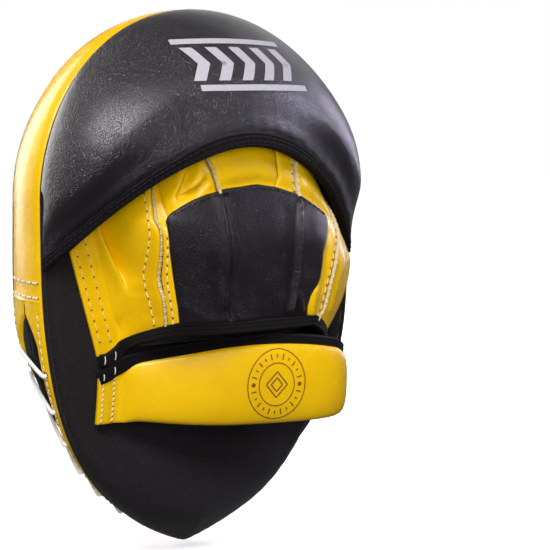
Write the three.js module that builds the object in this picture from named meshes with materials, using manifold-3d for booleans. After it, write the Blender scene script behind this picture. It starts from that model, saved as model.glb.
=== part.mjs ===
// Boxing focus mitt for the right hand: a curved, laced pad with a hand compartment on its back.
// Millimetres, +Z up along the fingers, +Y towards the strike face, -Y towards the trainer's hand,
// +X to the right as the trainer sees the hand side. The thumb side and the laced slot lie at -X.
//
// Everything is drawn in a flat design space (x, s, d) and then bent. x is the width, s is the
// length up the mitt measured along the palm plane, and d is the depth from the palm plane
// towards the strike face. A height h above the palm plane, on the hand side, is d = -h.

import * as THREE from 'three';
import { mergeVertices } from 'three/addons/utils/BufferGeometryUtils.js';
import Module from 'manifold-3d';

const wasm = await Module();
wasm.setup();

// ---- driving dimensions -------------------------------------------------------------------

const WIDTH = 187;              // across the back rim
const TOP = 94;                 // from the origin up to the finger end
const BOTTOM = 186;             // from the origin down to the wrist end
const TAPER = 3.5;              // how late the lower half narrows
const TIP = 0.85;               // how pointed the wrist end is

const PAD_TOP = 32;             // pad thickness at the finger end
const PAD_BOTTOM = 42;          // pad thickness at the wrist end
const FLAT_TOP = 20;            // the pad is flat between these two lengths
const FLAT_BOTTOM = -68;
const CURL_TOP = 300;           // bending radius of the finger end
const CURL_BOTTOM = 236;        // bending radius of the wrist end

const GAP = 0.3;                // clearance between pieces that touch
const LAYER_GAP = 0.6;          // clearance between the large stacked layers
const LEATHER = 1.5;
const TEXTILE = 1.2;
const LINING = 1.0;

const RIM_ROLL = 5;             // how far the strike cover rolls over the rim
const RIM_START = 0.72;         // share of the radius where that roll starts
const FACE_INSET = 4.5;         // the strike face is this much smaller round the finger end
const FACE_INSET_LOW = 25;      // and this much smaller round the wrist end
const SIDE_BULGE = 4.5;         // how far the side wall swells at mid depth
const FOAM_SPLIT = 14;          // depth where the backing foam meets the impact foam

const TARGET_RADIUS = 30;
const TARGET_CENTRE = -38;

const SLOT_START = 195;         // the laced slot runs between these two angles, in degrees,
const SLOT_END = 280;           // counted from +X through the finger end
const SLOT_HALF = 5.5;          // half the width of the slot
const UNDERLAY_DEPTH = 5.4;     // the black underlay lies this far below the yellow strips
const LACES = 8;
const LACE_RADIUS = 1;
const EYELET_RADIUS = 1.7;
const EYELET_EDGE = 3.6;        // from the slot's edge to the middle of an eyelet

const CUSHION = 26;             // swell of the wrist cushion
const CUSHION_TOP = -112;       // where the cushion starts to rise
const CUSHION_RAMP = 50;        // the length over which it reaches full swell

const HOOD = 50;                // height of the finger hood over the palm plane
const HOOD_CORNER = -34;        // where the hood's free edge meets the rim
const HOOD_APEX = 25;           // the highest point of that free edge
const HOOD_FOAM = 4;
const HOOD_SEAM = 4;            // thickness of the hood at the rim seam
const BINDING = 4;              // width of a bound edge

const GLOVE = 46;               // height of the glove over the knuckles
const GLOVE_UNDER_HOOD = 36;    // and where it goes under the hood
const GLOVE_TIP = 72;           // where the finger stalls end
const GLOVE_MIDDLE = 5;         // x of the glove's ridge
const GLOVE_SHELL = 2;
const FLANGE = 14;              // width of the flange sewn to the pad

const STRAP_FOAM = 4.4;
const STRAP_SEAM = -52;         // x of the seam that the strap swings on
const SEAM_GAP = 1.7;           // clearance that lets the strap swing beside its sewn end
const STRAP_TAB = 2;            // thickness of the closure tab
const TAPE = 1.4;               // thickness of the hook and the loop tape

// ---- design space -------------------------------------------------------------------------

const clamp = (t) => Math.min(1, Math.max(0, t));
const lerp = (a, b, t) => a + (b - a) * t;
const smooth = (t) => clamp(t) ** 2 * (3 - 2 * clamp(t));
const radians = (degrees) => (degrees * Math.PI) / 180;

// Half the width of the back rim at length s.
function halfWidth(s) {
  if (s >= 0) return (WIDTH / 2) * Math.sqrt(Math.max(0, 1 - (s / TOP) ** 2));
  return (WIDTH / 2) * Math.max(0, 1 - (-s / BOTTOM) ** TAPER) ** TIP;
}

// The back rim as a closed egg, one point for each angle.
function eggPoint(angle) {
  const rise = Math.sin(angle);
  const s = rise * (rise > 0 ? TOP : BOTTOM);
  return new THREE.Vector2(Math.sign(Math.cos(angle)) * halfWidth(s), s);
}

// A point of the rim drawn in towards the origin, then moved outwards square to the rim.
function rimPoint(angle, drawnIn, outward) {
  const step = 0.01;
  const along = eggPoint(angle + step).sub(eggPoint(angle - step)).normalize();
  const rim = eggPoint(angle);
  rim.setLength(rim.length() - drawnIn);
  return rim.add(new THREE.Vector2(along.y, -along.x).multiplyScalar(outward));
}

// How far out a point lies: 0 at the origin, 1 on the rim.
function reach(x, s) {
  if (s >= 0) return Math.hypot(x / (WIDTH / 2), s / TOP);
  let low = -s / BOTTOM;
  let high = 2;
  for (let i = 0; i < 30; i += 1) {
    const middle = (low + high) / 2;
    if (halfWidth(s / middle) > Math.abs(x) / middle) high = middle;
    else low = middle;
  }
  return high;
}

const padThickness = (s) => lerp(PAD_BOTTOM, PAD_TOP, (s + BOTTOM) / (TOP + BOTTOM));

// The bend: flat in the middle, curling towards the strike side at both ends.
function bend(x, s, d) {
  if (s > FLAT_TOP) {
    const angle = (s - FLAT_TOP) / CURL_TOP;
    const radius = CURL_TOP - d;
    return new THREE.Vector3(x, CURL_TOP - radius * Math.cos(angle), FLAT_TOP + radius * Math.sin(angle));
  }
  if (s < FLAT_BOTTOM) {
    const angle = (FLAT_BOTTOM - s) / CURL_BOTTOM;
    const radius = CURL_BOTTOM - d;
    return new THREE.Vector3(x, CURL_BOTTOM - radius * Math.cos(angle), FLAT_BOTTOM - radius * Math.sin(angle));
  }
  return new THREE.Vector3(x, d, s);
}

// ---- building blocks ----------------------------------------------------------------------

// Moves every vertex of a closed geometry, drops collapsed triangles and turns the faces outwards.
function reshape(geometry, place) {
  geometry.deleteAttribute('normal');
  geometry.deleteAttribute('uv');
  const solid = mergeVertices(geometry, 1e-5);
  const position = solid.attributes.position;
  for (let i = 0; i < position.count; i += 1) {
    const moved = place(new THREE.Vector3().fromBufferAttribute(position, i));
    position.setXYZ(i, moved.x, moved.y, moved.z);
  }
  const kept = [];
  const corners = solid.index.array;
  for (let i = 0; i < corners.length; i += 3) {
    const [a, b, c] = [corners[i], corners[i + 1], corners[i + 2]];
    if (a !== b && b !== c && c !== a) kept.push(a, b, c);
  }
  if (signedVolume(position, kept) < 0) kept.reverse();
  solid.setIndex(kept);
  return solid;
}

function signedVolume(position, corners) {
  const [a, b, c] = [new THREE.Vector3(), new THREE.Vector3(), new THREE.Vector3()];
  let volume = 0;
  for (let i = 0; i < corners.length; i += 3) {
    a.fromBufferAttribute(position, corners[i]);
    b.fromBufferAttribute(position, corners[i + 1]);
    c.fromBufferAttribute(position, corners[i + 2]);
    volume += a.dot(b.cross(c)) / 6;
  }
  return volume;
}

// A slab: u and v run along it, w runs through its thickness, all from 0 to 1.
function slab(across, along, place) {
  const geometry = new THREE.BoxGeometry(1, 1, 1, across, along, 1);
  return reshape(geometry, (p) => place(p.x + 0.5, p.y + 0.5, p.z + 0.5));
}

// A layer with the egg's outline. rim gives its edge and depth gives d, both on the layer's
// hand side (w = 0) and on its strike side (w = 1).
const EGG_SIDES = 36;
const EGG_RINGS = [0.372, 0.55, RIM_START, 0.84, 0.93, 1];
function eggLayer(rim, depth, rings = EGG_RINGS) {
  const profile = [new THREE.Vector2(0, 0)];
  rings.forEach((ring) => profile.push(new THREE.Vector2(ring, 0)));
  [...rings].reverse().forEach((ring) => profile.push(new THREE.Vector2(ring, 1)));
  profile.push(new THREE.Vector2(0, 1));
  return reshape(new THREE.LatheGeometry(profile, EGG_SIDES), (p) => {
    const angle = Math.atan2(p.z, p.x);
    const ring = Math.hypot(p.x, p.z);
    const point = rim(angle, p.y).multiplyScalar(ring);
    return bend(point.x, point.y, depth(point.x, point.y, ring, p.y));
  });
}

// A manifold-3d solid from a closed geometry, and back.
function toManifold(geometry) {
  const vertProperties = new Float32Array(geometry.attributes.position.array);
  const triVerts = new Uint32Array(geometry.index.array);
  return new wasm.Manifold(new wasm.Mesh({ numProp: 3, vertProperties, triVerts }));
}

function fromManifold(solid) {
  const mesh = solid.getMesh();
  const geometry = new THREE.BufferGeometry();
  geometry.setAttribute('position', new THREE.BufferAttribute(mesh.vertProperties, 3));
  geometry.setIndex(new THREE.BufferAttribute(mesh.triVerts, 1));
  return geometry;
}

// ---- materials ----------------------------------------------------------------------------

const finish = (color, roughness) => () => new THREE.MeshStandardMaterial({ color, roughness, metalness: 0 });
const yellowLeather = finish('#f0c40f', 0.32);
const blackLeather = finish('#171519', 0.42);
const blackTextile = finish('#1b1b1d', 0.85);
const whiteLeather = finish('#dcdae6', 0.4);
const foam = finish('#8d8f93', 0.95);
const liningCloth = finish('#222226', 0.9);
const tape = finish('#101012', 0.95);
const cord = finish('#f2f0ea', 0.7);

const mitt = new THREE.Group();

function add(name, geometry, material) {
  const mesh = new THREE.Mesh(geometry, material());
  mesh.name = name;
  mitt.add(mesh);
}

// ---- pad: strike cover, foams and back panel -----------------------------------------------

const faceInset = (s) => lerp(FACE_INSET, FACE_INSET_LOW, smooth((-60 - s) / 75));
const faceRim = (angle) => rimPoint(angle, faceInset(eggPoint(angle).y), 0);
const rimThickness = (angle) => padThickness(faceRim(angle).y);

// The outline at depth d, sunk below the side wall's outer surface: the wall swells at mid depth
// and leans in towards the smaller strike face.
function sideRim(angle, d, sunk) {
  const share = clamp(d / rimThickness(angle));
  const swell = SIDE_BULGE * 4 * share * (1 - share);
  return rimPoint(angle, faceInset(eggPoint(angle).y) * share, swell - sunk);
}

// 1 inside the laced slot's range of angles, 0 outside, with a short ramp at both ends.
function slotShare(angle) {
  const degrees = (THREE.MathUtils.radToDeg(angle) + 360) % 360;
  const ramp = 10;
  return Math.min(smooth((degrees - SLOT_START + ramp) / ramp), smooth((SLOT_END + ramp - degrees) / ramp));
}

const rimRoll = (ring) => RIM_ROLL * clamp((ring - RIM_START) / (1 - RIM_START)) ** 2;
const strikeSurface = (s, ring) => padThickness(s) - rimRoll(ring);

function strikeCover() {
  return eggLayer(
    faceRim,
    (x, s, ring, w) => strikeSurface(s, ring) - LEATHER * (1 - w),
  );
}

// Foam stays inside the side wall, and further in where the lacing runs.
function foamRim(angle, d) {
  const wall = LEATHER + LAYER_GAP;
  const lacing = UNDERLAY_DEPTH + LINING + 2 * LAYER_GAP;
  return sideRim(angle, d, lerp(wall, lacing, slotShare(angle)));
}

function impactFoam() {
  const top = (s, ring) => strikeSurface(s, ring) - LEATHER - LAYER_GAP;
  return eggLayer(
    (angle, w) => foamRim(angle, w > 0.5 ? rimThickness(angle) : FOAM_SPLIT),
    (x, s, ring, w) => (w > 0.5 ? top(s, ring) : FOAM_SPLIT + LAYER_GAP),
  );
}

function backingFoam() {
  return eggLayer(
    (angle, w) => foamRim(angle, w > 0.5 ? FOAM_SPLIT : 0),
    (x, s, ring, w) => (w > 0.5 ? FOAM_SPLIT : TEXTILE + LAYER_GAP),
  );
}

// Height of the swell over the wrist cushion.
function cushionHeight(x, s) {
  const rise = smooth((CUSHION_TOP - s) / CUSHION_RAMP);
  return CUSHION * rise * Math.sqrt(Math.max(0, 1 - Math.min(1, reach(x, s)) ** 6));
}

function backPanel() {
  return eggLayer(
    eggPoint,
    (x, s, ring, w) => -cushionHeight(x, s) + TEXTILE * w,
    [0.372, 0.55, 0.63, 0.71, 0.79, 0.87, 0.95, 1],
  );
}

// The cushion fills the space between the swollen back panel and the backing foam.
function wristCushion() {
  const [low, high] = [-BOTTOM * 0.88, CUSHION_TOP - 20];
  return slab(8, 6, (u, v, w) => {
    const s = lerp(low, high, v);
    const x = lerp(-0.8, 0.8, u) * halfWidth(s);
    const top = cushionHeight(x, s) * 0.62 - TEXTILE - LAYER_GAP;
    return bend(x, s, lerp(TEXTILE, -top, w));
  });
}

// The printed target is a thin disc on the strike face.
function targetDisc() {
  const profile = [[0, 0], [0.5, 0], [1, 0], [1, 1], [0.5, 1], [0, 1]].map(([r, w]) => new THREE.Vector2(r, w));
  return reshape(new THREE.LatheGeometry(profile, 32), (p) => {
    const x = p.x * TARGET_RADIUS;
    const s = TARGET_CENTRE + p.z * TARGET_RADIUS;
    return bend(x, s, padThickness(s) + GAP + LINING * p.y);
  });
}

add('strike_cover', strikeCover(), blackLeather);
add('target_disc', targetDisc(), whiteLeather);
add('impact_foam', impactFoam(), foam);
add('backing_foam', backingFoam(), foam);
add('back_panel', backPanel(), blackTextile);
add('wrist_cushion', wristCushion(), foam);

// ---- side wall and its laced slot -----------------------------------------------------------

const wallBack = () => TEXTILE + LAYER_GAP;
const wallFront = (angle) => rimThickness(angle) - RIM_ROLL - LEATHER - LAYER_GAP;
const wallMiddle = (angle) => (wallBack() + wallFront(angle)) / 2;

// A point on the side wall, sunk below its outer surface.
function wallPoint(angle, d, sunk) {
  const point = sideRim(angle, d, sunk);
  return bend(point.x, point.y, d);
}

// A band of the side wall between two angles in degrees and two depths.
function wallBand(from, to, steps, rows, back, front, sunk, thickness) {
  return slab(steps, rows, (u, v, w) => {
    const angle = radians(lerp(from, to, u));
    return wallPoint(angle, lerp(back(angle), front(angle), v), sunk + thickness * w);
  });
}

// The slot opens over its first and last stretch and keeps its width in between.
function slotHalf(angle) {
  const degrees = (THREE.MathUtils.radToDeg(angle) + 360) % 360;
  const stretch = 10;
  const opened = Math.min(smooth((degrees - SLOT_START) / stretch), smooth((SLOT_END - degrees) / stretch));
  return lerp(0.4, SLOT_HALF, Math.sqrt(opened));
}

// Angle at a share of the laced stretch, so that the laces lie at even distances along the rim.
const laceRun = [];
for (let degrees = SLOT_START + 9; degrees <= SLOT_END - 7; degrees += 1) {
  const angle = radians(degrees);
  const before = laceRun.at(-1);
  const length = before ? before.length + eggPoint(angle).distanceTo(eggPoint(before.angle)) : 0;
  laceRun.push({ angle, length });
}

function laceAngle(index) {
  const wanted = (index / (LACES - 0.5)) * laceRun.at(-1).length;
  const next = Math.max(1, laceRun.findIndex((mark) => mark.length >= wanted));
  const [low, high] = [laceRun[next - 1], laceRun[next]];
  return lerp(low.angle, high.angle, (wanted - low.length) / (high.length - low.length));
}

// A point beside the slot: side is -1 at the rear eyelets, +1 at the front ones, 0 between them.
function besideSlot(index, side, raised) {
  const angle = laceAngle(index);
  return wallPoint(angle, wallMiddle(angle) + side * (SLOT_HALF + EYELET_EDGE), -raised);
}

const eyelet = (index, side, raised) => besideSlot(index + (side > 0 ? 0 : 0.5), side, raised);

function punched(strip, side) {
  let solid = toManifold(strip);
  const up = new THREE.Vector3(0, 1, 0);
  for (let index = 0; index < LACES; index += 1) {
    const inner = eyelet(index, side, -4);
    const outer = eyelet(index, side, 4);
    const punch = new THREE.CylinderGeometry(EYELET_RADIUS, EYELET_RADIUS, inner.distanceTo(outer), 8);
    const turn = new THREE.Quaternion().setFromUnitVectors(up, outer.clone().sub(inner).normalize());
    const middle = inner.clone().lerp(outer, 0.5);
    const hole = reshape(punch, (p) => p.applyQuaternion(turn).add(middle));
    solid = solid.subtract(toManifold(hole));
  }
  return fromManifold(solid);
}

function rearStrip() {
  const edge = (angle) => wallMiddle(angle) - slotHalf(angle);
  return punched(wallBand(SLOT_START, SLOT_END, 22, 2, wallBack, edge, 0, LEATHER), -1);
}

function frontStrip() {
  const edge = (angle) => wallMiddle(angle) + slotHalf(angle);
  return punched(wallBand(SLOT_START, SLOT_END, 22, 2, edge, wallFront, 0, LEATHER), 1);
}

function slotUnderlay() {
  const margin = SLOT_HALF + EYELET_EDGE + 3;
  const back = (angle) => wallMiddle(angle) - margin;
  const front = (angle) => wallMiddle(angle) + margin;
  return wallBand(SLOT_START + 1, SLOT_END - 1, 20, 3, back, front, UNDERLAY_DEPTH, LINING);
}

// One cord: over the slot on a slant, in through an eyelet, back under the strips and out again.
function lacing() {
  const above = LACE_RADIUS + 0.4;
  const below = -LEATHER - LACE_RADIUS - GAP;
  const route = [];
  for (let index = 0; index < LACES; index += 1) {
    route.push(eyelet(index, 1, below), eyelet(index, 1, -LEATHER / 2), eyelet(index, 1, above));
    route.push(besideSlot(index + 0.25, 0, above));
    route.push(eyelet(index, -1, above), eyelet(index, -1, -LEATHER / 2), eyelet(index, -1, below));
    if (index < LACES - 1) route.push(besideSlot(index + 0.75, 0, below));
  }
  const section = new THREE.Shape().absarc(0, 0, LACE_RADIUS, 0, Math.PI * 2);
  const path = new THREE.CatmullRomCurve3(route, false, 'centripetal');
  const tube = new THREE.ExtrudeGeometry(section, { steps: LACES * 18, curveSegments: 4, extrudePath: path });
  return reshape(tube, (p) => p);
}

const joinGap = 0.25;           // degrees left free between the side wall and the strips
add(
  'side_gusset',
  wallBand(SLOT_END + joinGap - 360, SLOT_START - joinGap, 36, 4, wallBack, wallFront, 0, LEATHER),
  yellowLeather,
);
add('gusset_rear_strip', rearStrip(), yellowLeather);
add('gusset_front_strip', frontStrip(), yellowLeather);
add('slot_underlay', slotUnderlay(), blackTextile);
add('lacing_cord', lacing(), cord);

// ---- finger hood ----------------------------------------------------------------------------

// The hood is drawn over q, from -1 at the thumb side to 1, and t, from its free edge to the rim.
const hoodEdge = (q) => lerp(HOOD_CORNER, HOOD_APEX, 1 - q * q);

function hoodPoint(q, t, inset, seam, height) {
  const free = hoodEdge(q);
  const rim = TOP * Math.sqrt(Math.max(0, 1 - q * q)) * (1 - inset / TOP);
  const s = lerp(free, rim, t);
  const x = q * ((s > 0 ? WIDTH / 2 : halfWidth(s)) - inset);
  const out = s > 0 ? Math.min(1, Math.hypot(q, s / (TOP - inset))) : Math.abs(q);
  const fullness = lerp(1, 0.5, smooth((s - free) / 34)) + 0.3 * smooth((s - 20) / 60);
  return bend(x, s, -lerp(seam, height, Math.max(0, 1 - out * out) ** fullness));
}

// One layer of the hood between two depths below its outer surface.
function hoodLayer(outer, inner, fromEdge) {
  return slab(HOOD_STEPS, 8, (u, v, w) => {
    const q = Math.sin(lerp(-1, 1, u) * 0.5 * Math.PI) * 0.999;
    const share = v ** 1.2;
    const start = fromEdge / (TOP * Math.sqrt(1 - q * q) - hoodEdge(q));
    const t = lerp(start, 1, share);
    const [a, b] = [hoodPoint(q, t, ...inner), hoodPoint(q, t, ...outer)];
    return a.lerp(b, w);
  });
}

// Each surface of the stack as its inset at the rim, its height at the seam and its full height.
const HOOD_STEPS = 18;
const HOOD_GAP = 1;
const hoodStack = {
  shellOut: [0, HOOD_SEAM, HOOD],
  shellIn: [LEATHER, HOOD_SEAM - LEATHER, HOOD - LEATHER],
  foamOut: [LEATHER + HOOD_GAP, 2.1, HOOD - LEATHER - HOOD_GAP],
  foamIn: [5.5, 1.7, HOOD - LEATHER - HOOD_GAP - HOOD_FOAM],
  liningOut: [5.5 + HOOD_GAP, 1.2, HOOD - LEATHER - 2 * HOOD_GAP - HOOD_FOAM],
  liningIn: [5.5 + HOOD_GAP + LINING, GAP, HOOD - LEATHER - 2 * HOOD_GAP - HOOD_FOAM - LINING],
};

add('hood_shell', hoodLayer(hoodStack.shellOut, hoodStack.shellIn, BINDING + LAYER_GAP), blackLeather);
add('hood_foam', hoodLayer(hoodStack.foamOut, hoodStack.foamIn, BINDING + LAYER_GAP), foam);
add('hood_lining', hoodLayer(hoodStack.liningOut, hoodStack.liningIn, BINDING + LAYER_GAP), liningCloth);

// The binding closes the free edge over all the layers.
function hoodBinding() {
  return slab(HOOD_STEPS, 1, (u, v, w) => {
    const q = Math.sin(lerp(-1, 1, u) * 0.5 * Math.PI) * 0.999;
    const t = (v * BINDING) / (TOP * Math.sqrt(1 - q * q) - hoodEdge(q));
    const [a, b] = [hoodPoint(q, t, ...hoodStack.liningIn), hoodPoint(q, t, ...hoodStack.shellOut)];
    return a.lerp(b, w);
  });
}
add('hood_binding', hoodBinding(), blackTextile);

// ---- glove ----------------------------------------------------------------------------------

// Outer edge of the flange on the thumb side, and foot of the glove's wall on both sides.
const flangeEdge = (s) => (s < -10 ? -62 - 0.28 * (s + 80) : -81.6 + 0.35 * (s + 10));
const thumbFoot = (s) => flangeEdge(s) + FLANGE + GAP;
function littleFoot(s) {
  if (s < -34) return 83 - 0.0075 * (s + 34) ** 2;
  return 83 - 0.5 * (Math.min(s, 20) + 34) - 0.2 * Math.max(0, s - 20);
}

// Height of the glove's ridge along the hand.
function ridge(s) {
  const knuckles = lerp(GLOVE, GLOVE_UNDER_HOOD, smooth((s + 25) / 45));
  const wrist = 0.0018 * Math.min(0, s + 20) ** 2;
  const fingers = 0.3 * Math.max(0, s - 20);
  const end = Math.sqrt(1 - clamp((s - 50) / (GLOVE_TIP - 49)) ** 2);
  return (knuckles - wrist - fingers) * end;
}

// Height of the glove's outer surface over the palm plane.
const GLOVE_HEM = 2.6;
function gloveHeight(x, s) {
  let share;
  if (x < GLOVE_MIDDLE) {
    const run = clamp((x - thumbFoot(s)) / (GLOVE_MIDDLE - thumbFoot(s)));
    share = (1 - (1 - run) ** 3.4) ** 0.85;
  } else {
    const run = clamp((littleFoot(s) - x) / (littleFoot(s) - GLOVE_MIDDLE));
    share = (1 - (1 - run) ** 3.4) ** lerp(0.5, 1, smooth((s + 28) / 30));
  }
  return lerp(GLOVE_HEM, Math.max(GLOVE_HEM, ridge(s)), share);
}

// The glove's lower edge, at the wrist.
const CUFF = -62;
const gloveCuff = (x) => CUFF - 14 * smooth((-12 - x) / 45) - 4 * smooth((x - 48) / 24);

// A panel of the glove: left and right give x at s, low and high give s at x near the cuff.
function glovePanel(across, along, left, right, low, high, sunk = 0, thickness = GLOVE_SHELL) {
  return slab(across, along, (u, v, w) => {
    const guess = lerp(left(CUFF), right(CUFF), u);
    const s = lerp(low(guess), high(guess), v);
    const x = lerp(left(s), right(s), u);
    const depth = sunk + thickness * (1 - w);
    const inward = Math.sign(GLOVE_MIDDLE - x) * depth * 0.6;
    const side = clamp(Math.abs(x - GLOVE_MIDDLE) / 20);
    return bend(x + inward * side, s, -(gloveHeight(x, s) - depth));
  });
}

const patchTop = 6;
const patchLeft = (s) => -44.4 - 0.103 * s;
const patchRight = () => 48;
const aboveCuff = (x) => gloveCuff(x) + BINDING + GAP;
const line = (value) => () => value;

add(
  'glove_flange',
  slab(2, 10, (u, v, w) => {
    const s = lerp(-76, -6, v);
    return bend(lerp(flangeEdge(s), flangeEdge(s) + FLANGE, u), s, -lerp(GAP, GAP + 1.6, w));
  }),
  yellowLeather,
);
add(
  'thumb_panel',
  glovePanel(5, 7, thumbFoot, (s) => patchLeft(s) - GAP, aboveCuff, line(patchTop)),
  yellowLeather,
);
add('knuckle_patch', glovePanel(9, 7, patchLeft, patchRight, aboveCuff, line(patchTop)), blackLeather);
add(
  'heel_panel',
  glovePanel(6, 7, (s) => patchRight(s) + GAP, littleFoot, aboveCuff, line(patchTop)),
  yellowLeather,
);

// The finger stalls run side by side from the knuckles up under the hood.
const stallTop = GLOVE_TIP - 1;
const fingerSeams = [-0.44, -0.18, 0.08, 0.34];
const seamLine = (share) => (s) => lerp(GLOVE_MIDDLE, share * 100, lerp(1, 0.8, smooth((s - patchTop) / 60)));
const stalls = [
  ['thumb_stall', thumbFoot, seamLine(fingerSeams[0])],
  ['index_stall', seamLine(fingerSeams[0]), seamLine(fingerSeams[1])],
  ['middle_stall', seamLine(fingerSeams[1]), seamLine(fingerSeams[2])],
  ['ring_stall', seamLine(fingerSeams[2]), seamLine(fingerSeams[3])],
  ['little_stall', seamLine(fingerSeams[3]), littleFoot],
];
stalls.forEach(([name, left, right]) => {
  const inside = (s) => right(s) - GAP;
  add(name, glovePanel(3, 7, left, inside, line(patchTop + GAP), line(stallTop)), yellowLeather);
});

add(
  'glove_lining',
  glovePanel(
    14, 9,
    (s) => thumbFoot(s) + 9, (s) => littleFoot(s) - 6,
    aboveCuff, line(GLOVE_TIP - 8),
    GLOVE_SHELL + 2 * LAYER_GAP, LINING,
  ),
  liningCloth,
);
add(
  'glove_binding',
  glovePanel(18, 1, (s) => thumbFoot(s), (s) => littleFoot(s), gloveCuff, (x) => gloveCuff(x) + BINDING, -0.4, 2.6),
  blackTextile,
);
add(
  'palm_lining',
  slab(4, 10, (u, v, w) => {
    const s = lerp(-74, GLOVE_TIP - 6, v);
    const x = lerp(thumbFoot(s) + 4, littleFoot(s) - 6, u);
    return bend(x, s, -lerp(GAP, GAP + LINING, w));
  }),
  liningCloth,
);

// ---- wrist strap ----------------------------------------------------------------------------

// Outer face of the strap across the wrist, as height over x, from the sewn end to the closure.
const strapArch = new THREE.SplineCurve([
  new THREE.Vector2(STRAP_SEAM, 5),
  new THREE.Vector2(-40, 13),
  new THREE.Vector2(-22, 25.5),
  new THREE.Vector2(0, 36),
  new THREE.Vector2(28, 43.5),
  new THREE.Vector2(49, 46),
  new THREE.Vector2(60, 42),
  new THREE.Vector2(64.5, 31),
  new THREE.Vector2(65, 17),
]);
const strapLow = (x) => lerp(-112, -103, (x - STRAP_SEAM) / 112);
const strapHigh = (x) => -68 - 11 * ((x - 15) / 67) ** 2;

// A layer of the strap. sunk and thickness are functions of the place along the arch.
function strapLayer(steps, sunk, thickness, low, high) {
  return slab(steps, 2, (u, v, w) => {
    const outer = strapArch.getPointAt(u);
    const along = strapArch.getTangentAt(u);
    const depth = sunk(u) + thickness(u) * (1 - w);
    const x = outer.x + along.y * depth;
    const height = outer.y - along.x * depth;
    return bend(x, lerp(low(outer.x), high(outer.x), v), -height);
  });
}

const strapSwell = (u) => smooth(u / 0.14) * smooth((1 - u) / 0.08);
const foamThickness = (u) => lerp(0.9, STRAP_FOAM, strapSwell(u));
const belowBinding = (x) => strapHigh(x) - BINDING - GAP;
const underFoam = (u) => LEATHER + 2 * GAP + foamThickness(u);

add('strap_cover', strapLayer(26, () => 0, () => LEATHER, strapLow, belowBinding), yellowLeather);
add(
  'strap_foam',
  strapLayer(26, () => LEATHER + GAP, foamThickness, (x) => strapLow(x) + 1.5, belowBinding),
  foam,
);
add('strap_lining', strapLayer(26, underFoam, () => LINING, strapLow, belowBinding), liningCloth);
add(
  'strap_binding',
  strapLayer(26, () => -0.4, (u) => underFoam(u) + LINING + 0.8, (x) => strapHigh(x) - BINDING, strapHigh),
  blackTextile,
);

// The sewn end of the strap lies flat on the back panel beside the seam.
add(
  'strap_anchor',
  slab(2, 3, (u, v, w) => {
    const s = lerp(-112, -79.5, v);
    const x = lerp(-62, STRAP_SEAM - SEAM_GAP, u);
    return bend(x, s, -lerp(1.5, lerp(3.5, 5, u), w));
  }),
  yellowLeather,
);

// The closure tab goes down beside the wrist and out over the pad, where the tapes hold it.
const tabPath = new THREE.SplineCurve([
  new THREE.Vector2(65.2, 16.4),
  new THREE.Vector2(66, 9.5),
  new THREE.Vector2(69.5, 6),
  new THREE.Vector2(76, 5.6),
  new THREE.Vector2(82, 5.6),
]);
const tabLow = -102;
const tabHigh = -78;
add(
  'closure_tab',
  slab(10, 2, (u, v, w) => {
    const outer = tabPath.getPointAt(u);
    const along = tabPath.getTangentAt(u);
    const depth = STRAP_TAB * (1 - w);
    const s = lerp(tabLow, tabHigh, v);
    return bend(outer.x + along.y * depth, s, -(outer.y - along.x * depth));
  }),
  blackTextile,
);
function tapePatch(bottom) {
  return slab(2, 2, (u, v, w) => {
    const s = lerp(tabLow + 1, tabHigh - 1, v);
    return bend(lerp(71, 81.5, u), s, -lerp(bottom, bottom + TAPE, w));
  });
}
add('loop_tape', tapePatch(GAP), tape);
add('hook_tape', tapePatch(GAP * 2 + TAPE), tape);

export default mitt;
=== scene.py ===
"""Looks of the focus mitt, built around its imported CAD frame."""

import math

import bmesh
import bpy
import numpy as np
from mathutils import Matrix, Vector


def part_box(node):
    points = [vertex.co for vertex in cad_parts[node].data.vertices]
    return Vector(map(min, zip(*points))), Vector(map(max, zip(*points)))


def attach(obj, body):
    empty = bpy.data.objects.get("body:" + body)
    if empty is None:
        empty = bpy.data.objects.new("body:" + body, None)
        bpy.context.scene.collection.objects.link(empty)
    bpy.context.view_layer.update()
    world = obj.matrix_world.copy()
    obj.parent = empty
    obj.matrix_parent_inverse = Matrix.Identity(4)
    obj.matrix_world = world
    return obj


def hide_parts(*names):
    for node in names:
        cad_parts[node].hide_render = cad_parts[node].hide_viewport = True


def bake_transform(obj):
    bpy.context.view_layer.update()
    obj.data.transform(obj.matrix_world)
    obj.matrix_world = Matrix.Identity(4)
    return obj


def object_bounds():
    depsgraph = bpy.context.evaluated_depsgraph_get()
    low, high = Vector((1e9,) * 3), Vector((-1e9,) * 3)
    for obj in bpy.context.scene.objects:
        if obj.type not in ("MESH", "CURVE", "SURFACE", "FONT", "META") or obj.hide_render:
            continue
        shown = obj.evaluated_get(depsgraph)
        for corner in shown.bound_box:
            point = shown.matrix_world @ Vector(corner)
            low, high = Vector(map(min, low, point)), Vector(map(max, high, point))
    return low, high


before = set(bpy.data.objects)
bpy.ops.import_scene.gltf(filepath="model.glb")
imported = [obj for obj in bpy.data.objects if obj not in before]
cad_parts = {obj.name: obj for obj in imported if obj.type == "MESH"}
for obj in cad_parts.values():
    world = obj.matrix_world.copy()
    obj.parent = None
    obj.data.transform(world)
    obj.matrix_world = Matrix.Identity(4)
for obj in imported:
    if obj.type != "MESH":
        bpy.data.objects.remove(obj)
cad_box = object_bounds()

MM = 0.001

# ---- camera, light and floor ---------------------------------------------------------------

YAW, TILT = math.radians(33), math.radians(3.5)
CAMERA_DISTANCE = 1.0
AIM_RIGHT, AIM_DOWN = 0.0371, 0.0407
SENSOR, LENS = 36, 128.7
sight = Vector((math.sin(YAW) * math.cos(TILT), math.cos(YAW) * math.cos(TILT), -math.sin(TILT)))
right = Vector((math.cos(YAW), -math.sin(YAW), 0))
upward = right.cross(sight)


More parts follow.
